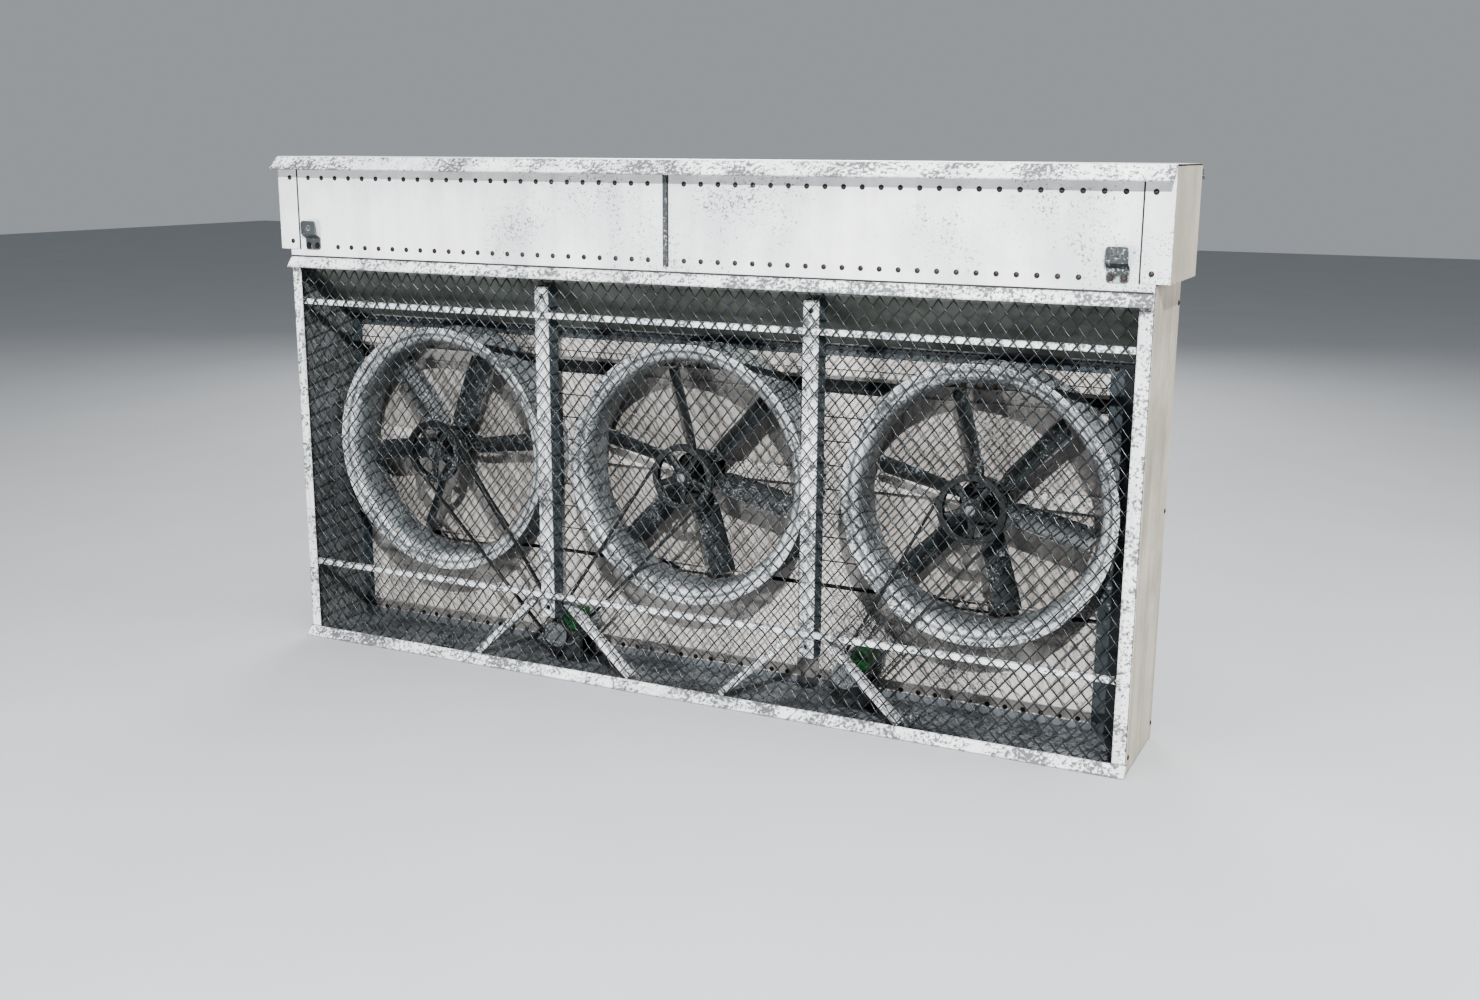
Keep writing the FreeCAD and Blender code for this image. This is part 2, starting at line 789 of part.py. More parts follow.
def motor_stator(x, z):
    ring = bar(x, 210, 310, z, motor_radius - 8.1)
    return ring.cut(bar(x, 209, 311, z, 38.8))


def motor_rotor(x, z):
    return fuse([bar(x, 97, 340, z, motor_shaft_radius), bar(x, 210, 310, z, 38)])


def terminal_box(x, z):
    """A box on the motor's shoulder that reaches forward past the front shield."""
    half = terminal_box_width / 2
    box = rounded_plate(terminal_box_width, motor_front - 22, motor_front + 78, z + 16, z + 92, 8,
                        x + 10 + half)
    return box.cut(bar(x, motor_front, motor_back, z, motor_radius + motor_fin + 0.3))


def motor_base(x, z):
    """A plate on the pan with two cheeks cut to the round of the motor."""
    plate = block(x - 92, x + 92, motor_front + 8, motor_back - 34, sheet, sheet + 8)
    cheeks = [block(x - 58, x + 58, d, d + 24, sheet + 8, z - 34)
              for d in (motor_front + 24, motor_back - 72)]
    base = fuse([plate] + cheeks)
    return base.cut(bar(x, motor_front, motor_back, z, motor_radius + motor_fin + 0.2))


# ---- write every node ----

nodes = {
    "bottom_pan": bottom_pan(),
    "left_side_panel": mirrored(side_panel()),
    "right_side_panel": side_panel(),
    "rim_drip_lip": rim_drip_lip(),
    "upper_deck": upper_deck(),
    "left_front_panel": mirrored(front_panel()),
    "right_front_panel": front_panel(),
    "seam_batten": seam_batten(),
    "left_corner_box": mirrored(corner_box()),
    "right_corner_box": corner_box(),
    "top_cap": top_cap(),
    "back_panels": [upper_back_panel(), back_sill_panel()],
    "bolts_and_rivets": panel_rivets() + side_rivets() + wall_rivets() + bracket_bolts(),
    "hanging_brackets": [hanging_bracket(x) for x in (-bracket_x, bracket_x)],
    "pan_lugs": [pan_lug(x) for x in lug_places],
    "guard_mesh": mesh_wires(),
    "mesh_rails": [mesh_rail(z) for z in mesh_rail_tops],
    "mesh_posts": [mesh_post(x) for x in (-post_offset, post_offset)],
    "post_braces": post_braces(-post_offset) + post_braces(post_offset),
    "sloping_ceiling": sloping_ceiling(),
    "wall_planks": wall_planks(),
    "wall_panels": lower_wall_panel() + upper_wall_strips(),
    "riveted_wall_angle": riveted_wall_angle(),
    "wall_beams": wall_beams(),
    "wall_corner_plates": wall_corner_plates(),
    "core_fins": core_fins(),
    "core_tubes": core_tubes(),
    "core_headers": core_headers(),
    "header_tank": header_tank(),
    "tank_saddles": tank_saddles(),
    "riser_pipes": [riser_pipe(x) for x in riser_places],
    "flanged_stubs": [pipe_stub(inlet_x, inlet_z, tank_back + 0.2),
                      pipe_stub(outlet_x, outlet_z, 426.7)],
    "bearing_cartridges": [bearing_cartridge(x) for x in fan_centres],
    "fan_ball_bearings": sum([ball_bearings(x) for x in fan_centres], []),
    "motor_housings": [motor_housing(x, z) for x, z in motor_places],
    "motor_stators": [motor_stator(x, z) for x, z in motor_places],
    "motor_terminal_boxes": [terminal_box(x, z) for x, z in motor_places],
    "motor_bases": [motor_base(x, z) for x, z in motor_places],
}

for i, x in enumerate(fan_centres):
    name = "fan_" + str(i + 1)
    groove = fan_grooves[i]
    motor_x, motor_z = motor_places[fan_motors[i]]
    nodes[name + "_cowl"] = cowl(x)
    nodes[name + "_shaft"] = fan_shaft(x, groove)
    nodes[name + "_hub"] = fan_hub(x)
    nodes[name + "_blades"] = fan_blades(x, fan_hands[i], fan_first_angles[i])
    nodes[name + "_pulley"] = pulley(x, fan_height, groove, fan_pulley_radius, 26,
                                     shaft_radius + running_gap, [groove])
    nodes[name + "_belt"] = belt(x, fan_height, motor_x, motor_z, groove)

for i, (x, z) in enumerate(motor_places):
    name = "motor_" + str(i + 1)
    nodes[name + "_rotor"] = motor_rotor(x, z)
    nodes[name + "_pulley"] = pulley(x, z, (first_groove + second_groove) / 2, motor_pulley_radius, 46,
                                     motor_shaft_radius + running_gap, [first_groove, second_groove])

os.makedirs("parts", exist_ok=True)
for name, shape in nodes.items():
    if isinstance(shape, list):
        shape = Part.makeCompound(shape)
    shape.exportStep("parts/" + name + ".step")
print(len(nodes), "nodes")
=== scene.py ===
import bpy
import bmesh
import math
from itertools import product
from mathutils import Matrix, Vector


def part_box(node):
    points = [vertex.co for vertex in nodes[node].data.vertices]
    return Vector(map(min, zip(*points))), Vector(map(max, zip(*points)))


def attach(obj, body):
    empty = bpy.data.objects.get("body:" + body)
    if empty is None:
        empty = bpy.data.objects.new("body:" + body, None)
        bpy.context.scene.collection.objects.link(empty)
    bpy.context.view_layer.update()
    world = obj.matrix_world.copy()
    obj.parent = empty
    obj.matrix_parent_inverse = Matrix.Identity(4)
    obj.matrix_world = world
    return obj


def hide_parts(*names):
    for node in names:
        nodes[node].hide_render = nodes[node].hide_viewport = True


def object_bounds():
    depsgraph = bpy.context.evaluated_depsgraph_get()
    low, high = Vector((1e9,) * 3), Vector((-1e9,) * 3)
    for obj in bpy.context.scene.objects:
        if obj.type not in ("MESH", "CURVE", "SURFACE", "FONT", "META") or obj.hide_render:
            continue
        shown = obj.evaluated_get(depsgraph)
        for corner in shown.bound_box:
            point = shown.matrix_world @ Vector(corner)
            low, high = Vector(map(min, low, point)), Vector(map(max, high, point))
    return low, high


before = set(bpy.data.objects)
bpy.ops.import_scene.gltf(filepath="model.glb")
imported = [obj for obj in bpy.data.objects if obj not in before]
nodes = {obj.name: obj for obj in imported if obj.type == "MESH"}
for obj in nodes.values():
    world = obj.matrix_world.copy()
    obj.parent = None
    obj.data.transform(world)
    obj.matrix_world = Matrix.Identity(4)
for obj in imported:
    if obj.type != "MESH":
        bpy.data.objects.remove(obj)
cadLow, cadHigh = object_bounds()
print("frame loaded:", len(nodes), "nodes")


# ways to build node trees

def feed(tree, socket, value):
    # a link where the value comes from another node, otherwise a plain number, vector or colour
    if isinstance(value, bpy.types.NodeSocket):
        tree.links.new(value, socket)
    elif socket.type == "RGBA":
        socket.default_value = (*value, 1.0)
    else:
        socket.default_value = value


def addNode(tree, kind, values=None, **settings):
    node = tree.nodes.new(kind)
    for name, value in settings.items():
        setattr(node, name, value)
    for name, value in (values or {}).items():
        feed(tree, node.inputs[name], value)
    return node


def noise(tree, vector, scale, detail=3.0, rough=0.55):
    return addNode(tree, "ShaderNodeTexNoise", {"Vector": vector, "Scale": scale, "Detail": detail,
                                                "Roughness": rough}).outputs["Fac"]


def maths(tree, operation, a, b=0.0):
    return addNode(tree, "ShaderNodeMath", {0: a, 1: b}, operation=operation).outputs[0]


def remap(tree, value, low, high, outLow=0.0, outHigh=1.0):
    # smooth step from low to high
    return addNode(tree, "ShaderNodeMapRange", {"Value": value, "From Min": low, "From Max": high,
                                                "To Min": outLow, "To Max": outHigh},
                   interpolation_type="SMOOTHSTEP").outputs["Result"]


def mixColour(tree, mask, a, b, blend="MIX"):
    return addNode(tree, "ShaderNodeMix", {0: mask, 6: a, 7: b}, data_type="RGBA",
                   blend_type=blend).outputs[2]


def mixValue(tree, mask, a, b):
    return addNode(tree, "ShaderNodeMix", {0: mask, 2: a, 3: b}, data_type="FLOAT").outputs[0]


def stretched(tree, vector, scale):
    return addNode(tree, "ShaderNodeMapping", {"Vector": vector, "Scale": scale}).outputs["Vector"]


def newGroup(name, inputs, outputs):
    group = bpy.data.node_groups.new(name, "ShaderNodeTree")
    for socketName, kind, value in inputs:
        socket = group.interface.new_socket(socketName, in_out="INPUT", socket_type=kind)
        if value is not None:
            socket.default_value = value
    for socketName, kind in outputs:
        group.interface.new_socket(socketName, in_out="OUTPUT", socket_type=kind)
    return group, group.nodes.new("NodeGroupInput"), group.nodes.new("NodeGroupOutput")


def placeGroup(tree, group, values):
    return addNode(tree, "ShaderNodeGroup", values, node_tree=group)


wear = {"edgeTurn": 0.22, "patchScale": 7.0, "patchShare": 0.5, "lostFrom": 0.82, "lostTo": 0.92}


def makeEdgeWear():
    # paint lost along sharp edges, broken up by noise
    group, start, end = newGroup("edgeWear", [
        ("Vector", "NodeSocketVector", None), ("Width", "NodeSocketFloat", 0.01),
        ("Amount", "NodeSocketFloat", 0.5), ("Scale", "NodeSocketFloat", 60.0)],
        [("Mask", "NodeSocketFloat")])
    bevel = addNode(group, "ShaderNodeBevel", {"Radius": start.outputs["Width"]}, samples=6)
    flat = addNode(group, "ShaderNodeNewGeometry")
    dot = addNode(group, "ShaderNodeVectorMath", {0: bevel.outputs["Normal"], 1: flat.outputs["Normal"]},
                  operation="DOT_PRODUCT").outputs["Value"]
    edge = remap(group, maths(group, "SUBTRACT", 1.0, dot), 0.0, wear["edgeTurn"])
    fine = noise(group, start.outputs["Vector"], start.outputs["Scale"], 5.0, 0.62)
    broad = noise(group, start.outputs["Vector"], wear["patchScale"], 2.0)
    uneven = maths(group, "MULTIPLY", maths(group, "SUBTRACT", broad, 0.5), wear["patchShare"])
    limit = maths(group, "ADD", fine, uneven)
    level = maths(group, "MULTIPLY", edge, start.outputs["Amount"])
    mask = remap(group, maths(group, "ADD", limit, level), wear["lostFrom"], wear["lostTo"])
    group.links.new(mask, end.inputs["Mask"])
    return group


chipping = {"patchShare": 0.55, "chipFrom": 0.78, "chipTo": 0.84}


def makeSpeckle():
    # small dark chips that gather in patches
    group, start, end = newGroup("speckle", [
        ("Vector", "NodeSocketVector", None), ("Density", "NodeSocketFloat", 0.3),
        ("Scale", "NodeSocketFloat", 70.0), ("Patch", "NodeSocketFloat", 3.0)],
        [("Mask", "NodeSocketFloat")])
    patch = noise(group, start.outputs["Vector"], start.outputs["Patch"], 3.0, 0.6)
    fine = noise(group, start.outputs["Vector"], start.outputs["Scale"], 6.0, 0.72)
    gather = maths(group, "MULTIPLY", maths(group, "SUBTRACT", patch, 0.5), chipping["patchShare"])
    level = maths(group, "ADD", maths(group, "ADD", fine, gather), start.outputs["Density"])
    chipped = remap(group, level, chipping["chipFrom"], chipping["chipTo"])
    group.links.new(chipped, end.inputs["Mask"])
    return group


stainRun = {"downScale": 0.07, "patchScale": 1.7, "startLevel": -0.1, "fullLevel": 0.12}


def makeStreaks():
    # stains that run down the sheet
    group, start, end = newGroup("streaks", [
        ("Vector", "NodeSocketVector", None), ("Scale", "NodeSocketFloat", 14.0),
        ("Level", "NodeSocketFloat", 0.55)], [("Mask", "NodeSocketFloat")])
    along = stretched(group, start.outputs["Vector"], (1.0, 1.0, stainRun["downScale"]))
    fine = noise(group, along, start.outputs["Scale"], 4.0, 0.6)
    patch = noise(group, start.outputs["Vector"], stainRun["patchScale"], 2.0)
    level = maths(group, "MULTIPLY", fine, maths(group, "ADD", patch, 0.5))
    above = maths(group, "SUBTRACT", level, start.outputs["Level"])
    mask = remap(group, above, stainRun["startLevel"], stainRun["fullLevel"])
    group.links.new(mask, end.inputs["Mask"])
    return group


relief = {"dentScale": 5.0, "cloudScale": 3.1}


def makeGrain():
    # fine relief of rolled, painted or cast metal
    group, start, end = newGroup("grain", [
        ("Vector", "NodeSocketVector", None), ("Scale", "NodeSocketFloat", 220.0),
        ("Dents", "NodeSocketFloat", 0.4)], [("Height", "NodeSocketFloat"), ("Cloud", "NodeSocketFloat")])
    fine = noise(group, start.outputs["Vector"], start.outputs["Scale"], 2.0)
    dents = noise(group, start.outputs["Vector"], relief["dentScale"], 2.0)
    height = mixValue(group, start.outputs["Dents"], fine, dents)
    cloud = noise(group, start.outputs["Vector"], relief["cloudScale"], 5.0, 0.62)
    group.links.new(height, end.inputs["Height"])
    group.links.new(cloud, end.inputs["Cloud"])
    return group


edgeWear = makeEdgeWear()
speckle = makeSpeckle()
streaks = makeStreaks()
grain = makeGrain()


# metres: depths, heights and distances at which the tone of a piece changes
zoneEdge = {"skin": 0.0016, "panFront": 0.0600, "panBlend": 0.0004, "footHeight": 0.0320, "postFace": 0.0030,
            "bearingBeam": 0.1000, "fanReach": 0.4700, "lidStart": 0.0035, "lidEnd": 0.0020,
            "sideStart": 0.0012, "sideEnd": 0.0004}


def beamMask(tree, across, height):
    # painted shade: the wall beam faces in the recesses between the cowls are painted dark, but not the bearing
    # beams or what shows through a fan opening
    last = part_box("fan_3_cowl")
    spacing, fanHeight = (last[0].x + last[1].x) / 2, (last[0].z + last[1].z) / 2
    away = maths(tree, "ABSOLUTE", maths(tree, "SUBTRACT", height, fanHeight))
    outerFan = maths(tree, "ABSOLUTE", maths(tree, "SUBTRACT", across, spacing))
    beside = maths(tree, "MINIMUM", across, outerFan)
    squares = [maths(tree, "MULTIPLY", value, value) for value in (away, beside)]
    reach = maths(tree, "SQRT", maths(tree, "ADD", *squares))
    return maths(tree, "MULTIPLY", maths(tree, "GREATER_THAN", away, zoneEdge["bearingBeam"]),
                 maths(tree, "GREATER_THAN", reach, zoneEdge["fanReach"]))


def zoneMask(tree, coords, zone):
    # where the tone changes across one piece
    # the cowl's painted shade, read from its throat attribute
    if zone == "throat":
        return addNode(tree, "ShaderNodeAttribute", attribute_name="throat").outputs["Fac"]
    x, y, z = addNode(tree, "ShaderNodeSeparateXYZ", {"Vector": coords}).outputs
    if zone == "foot":
        return maths(tree, "LESS_THAN", z, zoneEdge["footHeight"])
    # painted shade: the side webs of the posts, behind their front faces
    if zone == "deep":
        return maths(tree, "GREATER_THAN", y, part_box("mesh_posts")[0].y + zoneEdge["postFace"])
    if zone == "lid":
        return remap(tree, z, cadHigh.z - zoneEdge["lidStart"], cadHigh.z - zoneEdge["lidEnd"])
    across = maths(tree, "ABSOLUTE", x)
    # painted shade: the wall beam faces in the recesses
    if zone == "beams":
        return beamMask(tree, across, z)
    rearPiece = "bottom_pan" if zone == "pan" else "right_side_panel"
    forward = maths(tree, "LESS_THAN", y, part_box(rearPiece)[1].y - zoneEdge["skin"])
    if zone == "pan":
        panFront = cadLow.y + zoneEdge["panFront"]
        return maths(tree, "MULTIPLY", forward, remap(tree, y, panFront, panFront + zoneEdge["panBlend"]))
    if zone in ("side", "inner"):
        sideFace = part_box("right_side_panel")[1].x
    else:
        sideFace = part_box("right_corner_box")[1].x
    if zone == "inner":
        inward = maths(tree, "LESS_THAN", across, sideFace - zoneEdge["sideStart"])
        deep = maths(tree, "GREATER_THAN", y, sheetFront + zoneEdge["skin"])
        return maths(tree, "MULTIPLY", maths(tree, "MULTIPLY", inward, deep), forward)
    return remap(tree, across, sideFace - zoneEdge["sideStart"], sideFace - zoneEdge["sideEnd"])


# what a look has unless it says otherwise
plainLook = {"grain": 220.0, "dents": 0.4, "zones": [], "stain": 0.3, "streakScale": 14.0,
             "streakLevel": 0.55, "spots": 0.2, "spotScale": 70.0, "patch": 3.0, "calm": None,
             "calmShare": 0.12, "edge": 0.5, "edgeWidth": 0.01, "edgeScale": 60.0, "chipStrength": 0.85,
             "chipRough": 0.6, "chipDepth": 0.6, "cloudFrom": 0.35, "cloudTo": 0.68, "roughSpread": 0.1,
             "metal": 0.0, "bump": 0.25, "bumpDepth": 0.0008}


def wornMetal(name, ownLook):
    # paint or bare metal with clouds of tone, stains, chips and worn edges
    look = dict(plainLook, **ownLook)
    material = bpy.data.materials.new(name)
    material.use_nodes = True
    tree = material.node_tree
    shader = tree.nodes["Principled BSDF"]
    coords = addNode(tree, "ShaderNodeTexCoord").outputs["Object"]
    surface = placeGroup(tree, grain, {"Vector": coords, "Scale": look["grain"], "Dents": look["dents"]})
    cloud = remap(tree, surface.outputs["Cloud"], look["cloudFrom"], look["cloudTo"])
    colour = mixColour(tree, cloud, look["colour"], look["second"])
    for zone, first, second in look["zones"]:
        colour = mixColour(tree, zoneMask(tree, coords, zone), colour, mixColour(tree, cloud, first, second))
    if look["stain"] > 0:
        stain = placeGroup(tree, streaks, {"Vector": coords, "Scale": look["streakScale"],
                                           "Level": look["streakLevel"]}).outputs["Mask"]
        stain = maths(tree, "MULTIPLY", stain, look["stain"])
        colour = mixColour(tree, stain, colour, look["stainColour"], "MULTIPLY")
    chips = placeGroup(tree, speckle, {"Vector": coords, "Density": look["spots"], "Scale": look["spotScale"],
                                       "Patch": look["patch"]}).outputs["Mask"]
    if look["calm"]:
        kept = remap(tree, zoneMask(tree, coords, look["calm"]), 0.0, 1.0, 1.0, look["calmShare"])
        chips = maths(tree, "MULTIPLY", chips, kept)
    if look["edge"] > 0:
        worn = placeGroup(tree, edgeWear, {"Vector": coords, "Width": look["edgeWidth"],
                                           "Amount": look["edge"],
                                           "Scale": look["edgeScale"]}).outputs["Mask"]
        chips = maths(tree, "MAXIMUM", chips, worn)
    chipped = maths(tree, "MULTIPLY", chips, look["chipStrength"])
    tree.links.new(mixColour(tree, chipped, colour, look["chip"]), shader.inputs["Base Color"])
    low, high = look["rough"] - look["roughSpread"], look["rough"] + look["roughSpread"]
    rough = mixValue(tree, surface.outputs["Cloud"], low, high)
    tree.links.new(mixValue(tree, chips, rough, look["chipRough"]), shader.inputs["Roughness"])
    shader.inputs["Metallic"].default_value = look["metal"]
    sunken = maths(tree, "MULTIPLY", chips, look["chipDepth"])
    height = maths(tree, "SUBTRACT", surface.outputs["Height"], sunken)
    bump = addNode(tree, "ShaderNodeBump", {"Height": height, "Strength": look["bump"],
                                            "Distance": look["bumpDepth"]})
    tree.links.new(bump.outputs["Normal"], shader.inputs["Normal"])
    return material


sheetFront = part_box("left_side_panel")[0].y
whites = dict(colour=(0.70, 0.705, 0.71), second=(0.56, 0.57, 0.58), stainColour=(0.45, 0.45, 0.45))
creams = ((0.50, 0.455, 0.385), (0.38, 0.345, 0.295))
dulls = ((0.21, 0.22, 0.225), (0.13, 0.14, 0.145))
paints = {
    "whitePanel": dict(whites, stain=0.22, streakScale=6.0, chip=(0.10, 0.102, 0.105), spots=0.155,
                       spotScale=110.0, edge=0.38, edgeWidth=0.007, calm="box", rough=0.5,
                       zones=[("box", *creams)]),
    "frameWhite": dict(whites, stain=0.4, chip=(0.06, 0.065, 0.07), spots=0.245, spotScale=80.0, patch=9.0,
                       edge=0.52, edgeWidth=0.008, edgeScale=75.0, rough=0.5, zones=[("box", *creams)]),
    "whiteLip": dict(whites, calm="lid", stain=0.3, chip=(0.045, 0.05, 0.055), spots=0.29, spotScale=75.0,
                     patch=5.0, edge=0.56, edgeWidth=0.012, edgeScale=70.0, rough=0.42,
                     zones=[("box", *creams)]),
    "panPaint": dict(whites, stain=0.3, chip=(0.045, 0.05, 0.055), spots=0.29, spotScale=75.0, patch=6.0,
                     edge=0.58, edgeWidth=0.010, edgeScale=90.0, rough=0.42,
                     zones=[("pan", (0.21, 0.225, 0.235), (0.13, 0.14, 0.15))]),
    "sidePaint": dict(whites, calm="side", stainColour=(0.42, 0.40, 0.36), stain=0.35, streakScale=20.0,
                      chip=(0.06, 0.06, 0.058), spots=0.262, spotScale=85.0, patch=9.0, edge=0.58,
                      edgeWidth=0.008, edgeScale=90.0, rough=0.58,
                      zones=[("side", *creams), ("inner", *dulls)]),
    "innerWall": dict(colour=(0.56, 0.53, 0.50), second=(0.44, 0.42, 0.40), stainColour=(0.5, 0.49, 0.48),
                      stain=0.6, chip=(0.10, 0.10, 0.10), spots=0.225, spotScale=90.0, edge=0.0, rough=0.6,
                      zones=[("foot", (0.17, 0.185, 0.195), (0.11, 0.12, 0.13))]),
    "darkPaint": dict(colour=(0.07, 0.085, 0.095), second=(0.045, 0.055, 0.06), stainColour=(0.6, 0.6, 0.6),
                      stain=0.5, chip=(0.26, 0.28, 0.29), spots=0.13, edge=0.3, edgeWidth=0.005, rough=0.5),
    "ceilingPaint": dict(colour=(0.24, 0.255, 0.235), second=(0.16, 0.17, 0.155),
                         stainColour=(0.5, 0.5, 0.46), stain=0.5, chip=(0.3, 0.3, 0.28), spots=0.14,
                         edge=0.0, rough=0.55),
    "galvanised": dict(colour=(0.085, 0.095, 0.10), second=(0.045, 0.053, 0.056), stainColour=(0.5, 0.5, 0.5),
                       stain=0.3, chip=(0.40, 0.41, 0.41), spots=0.20, spotScale=90.0, edge=0.42,
                       edgeWidth=0.004, edgeScale=120.0, rough=0.5, metal=0.25),
    "wire": dict(colour=(0.075, 0.082, 0.086), second=(0.04, 0.045, 0.048), chip=(0.50, 0.51, 0.52),
                 spots=0.15, spotScale=300.0, stain=0.0, edge=0.0, rough=0.32, metal=0.6),
    # painted shade: the throat zone darkens the throat, the outside behind the lip and the gap line behind the
    # bell
    "cowlPaintAndShade": dict(colour=(0.56, 0.57, 0.575), second=(0.38, 0.395, 0.40), stainColour=(0.5, 0.5, 0.5),
                      stain=0.4, chip=(0.07, 0.078, 0.082), spots=0.268, spotScale=85.0, patch=7.0,
                      edge=0.40, edgeWidth=0.006, rough=0.45,
                      zones=[("throat", (0.20, 0.215, 0.22), (0.10, 0.11, 0.115))]),
    "boltHead": dict(colour=(0.030, 0.025, 0.023), second=(0.055, 0.045, 0.040), stain=0.0,
                     chip=(0.26, 0.25, 0.24), spots=0.12, spotScale=160.0, edge=0.0, rough=0.42, metal=0.3),
    "blackIron": dict(colour=(0.014, 0.016, 0.017), second=(0.024, 0.028, 0.029), stain=0.0,
                      chip=(0.34, 0.36, 0.37), spots=0.155, spotScale=120.0, edge=0.36, edgeWidth=0.003,
                      edgeScale=120.0, rough=0.38, metal=0.35, bumpDepth=0.001),
    "bladePaint": dict(colour=(0.024, 0.028, 0.029), second=(0.038, 0.043, 0.045), stain=0.0,
                       chip=(0.30, 0.31, 0.32), spots=0.195, spotScale=120.0, patch=14.0, edge=0.38,
                       edgeWidth=0.004, edgeScale=130.0, rough=0.46, metal=0.2),
    "turnedSteel": dict(colour=(0.24, 0.245, 0.25), second=(0.15, 0.155, 0.16), stain=0.0,
                        chip=(0.1, 0.08, 0.06), spots=0.1, edge=0.0, rough=0.42, metal=0.9),
    "pulleyGrey": dict(colour=(0.20, 0.215, 0.22), second=(0.10, 0.11, 0.115), stain=0.0,
                       chip=(0.55, 0.56, 0.56), spots=0.24, spotScale=170.0, edge=0.40, edgeWidth=0.003,
                       edgeScale=130.0, rough=0.34, metal=0.7),
    "beltRubber": dict(colour=(0.012, 0.012, 0.013), second=(0.028, 0.028, 0.028), stain=0.0,
                       chip=(0.10, 0.10, 0.10), spots=0.08, edge=0.0, rough=0.65),
    "motorGrey": dict(colour=(0.38, 0.40, 0.405), second=(0.25, 0.27, 0.275), stain=0.3,
                      stainColour=(0.4, 0.4, 0.4), chip=(0.08, 0.085, 0.09), spots=0.22, spotScale=170.0,
                      edge=0.34, edgeWidth=0.002, rough=0.4, metal=0.4),
    "motorGreen": dict(colour=(0.015, 0.11, 0.028), second=(0.014, 0.06, 0.02), stain=0.3,
                       stainColour=(0.5, 0.5, 0.4), chip=(0.22, 0.25, 0.22), spots=0.14, edge=0.34,
                       edgeWidth=0.003, rough=0.4),
    "motorBlack": dict(colour=(0.035, 0.038, 0.040), second=(0.06, 0.064, 0.067), stain=0.0,
                       chip=(0.25, 0.25, 0.25), spots=0.14, edge=0.34, edgeWidth=0.003, rough=0.45),
    "finStock": dict(colour=(0.64, 0.61, 0.58), second=(0.50, 0.475, 0.45), stain=0.5,
                     stainColour=(0.55, 0.52, 0.48), chip=(0.22, 0.21, 0.20), spots=0.12, edge=0.0,
                     rough=0.5),
    "copper": dict(colour=(0.45, 0.22, 0.13), second=(0.30, 0.15, 0.10), stain=0.3,
                   stainColour=(0.3, 0.5, 0.4), chip=(0.08, 0.05, 0.04), spots=0.12, edge=0.0, rough=0.35,
                   metal=0.9),
    # painted shade: near-black for the shadow lines along the joints and behind the plank slots
    "shadowLineBlack": dict(colour=(0.02, 0.021, 0.022), second=(0.045, 0.046, 0.047), stain=0.0,
                    chip=(0.2, 0.2, 0.2), spots=0.10, edge=0.0, rough=0.6),
}
# painted shade on the side webs of the posts
postSideShade = ("deep", (0.13, 0.16, 0.175), (0.08, 0.10, 0.11))
# painted shade on the wall beam faces in the recesses between planks and panels
beamRecessShade = ("beams", (0.020, 0.024, 0.026), (0.012, 0.014, 0.015))
paints["postPaintAndSideShade"] = dict(paints["frameWhite"], zones=[postSideShade])
paints["beamPaintAndRecessShade"] = dict(paints["innerWall"], zones=[beamRecessShade])
finish = {name: wornMetal(name, look) for name, look in paints.items()}
print("materials made:", len(finish))


def paintNode(name, finishName):
    mesh = nodes[name].data
    mesh.materials.clear()
    mesh.materials.append(finish[finishName])


nodeFinishes = {
    "whitePanel": ["left_front_panel", "right_front_panel", "left_corner_box", "right_corner_box",
                   "upper_deck", "back_panels", "core_headers"],
    "frameWhite": ["mesh_rails", "post_braces"],
    "postPaintAndSideShade": ["mesh_posts"],
    "whiteLip": ["top_cap", "rim_drip_lip"],
    # the posts' finish paints shade on their side webs
    "panPaint": ["bottom_pan"],
    "sidePaint": ["left_side_panel", "right_side_panel"],
    "innerWall": ["wall_planks", "wall_panels"],
    # the beams' finish paints shade on their faces in the recesses
    "beamPaintAndRecessShade": ["wall_beams"],
    "darkPaint": ["riveted_wall_angle", "wall_corner_plates", "header_tank", "flanged_stubs"],
    "ceilingPaint": ["sloping_ceiling"],
    "galvanised": ["hanging_brackets", "pan_lugs", "tank_saddles", "seam_batten"],
    "wire": ["guard_mesh"],
    # the cowls' finish paints shade in the throat, on the outside behind the lip and along the gap line
    "cowlPaintAndShade": ["fan_1_cowl", "fan_2_cowl", "fan_3_cowl"],
    "boltHead": ["bolts_and_rivets"],
    "blackIron": ["bearing_cartridges", "fan_1_hub", "fan_2_hub", "fan_3_hub", "fan_1_pulley", "fan_2_pulley",
                  "fan_3_pulley", "motor_stators"],
    "pulleyGrey": ["motor_1_pulley", "motor_2_pulley"],
    "bladePaint": ["fan_1_blades", "fan_2_blades", "fan_3_blades"],
    "turnedSteel": ["fan_1_shaft", "fan_2_shaft", "fan_3_shaft", "fan_ball_bearings", "motor_1_rotor",
                    "motor_2_rotor"],
    "beltRubber": ["fan_1_belt", "fan_2_belt", "fan_3_belt"],
    "motorGrey": ["motor_housings"],
    "motorGreen": ["motor_terminal_boxes"],
    "motorBlack": ["motor_bases"],
    "finStock": ["core_fins", "core_tubes"],
    "copper": ["riser_pipes"],
}
for finishName, names in nodeFinishes.items():
    for name in names:
        paintNode(name, finishName)
print("carried nodes painted")


# detailed pieces that stand for plain CAD nodes

def finishPiece(shape, name, finishName, body, slotName, *replaced, smoothAngle=40.0):
    mesh = bpy.data.meshes.new(name)
    if isinstance(shape, bmesh.types.BMesh):
        shape.to_mesh(mesh)
        shape.free()
    else:
        mesh = shape
        mesh.name = name
    mesh.materials.clear()
    mesh.materials.append(finish[finishName])
    if smoothAngle:
        mesh.shade_smooth()
        mesh.set_sharp_from_angle(angle=math.radians(smoothAngle))
    piece = bpy.data.objects.new(name, mesh)
    bpy.context.scene.collection.objects.link(piece)
    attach(piece, body)
    if replaced:
        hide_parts(*replaced)
    return piece


guard = {"cellWidth": 0.054, "cellHeight": 0.065, "wireRadius": 0.0026, "crimp": 0.0026, "flat": 0.32,
         "endShare": 0.6, "edgeGap": 0.001}


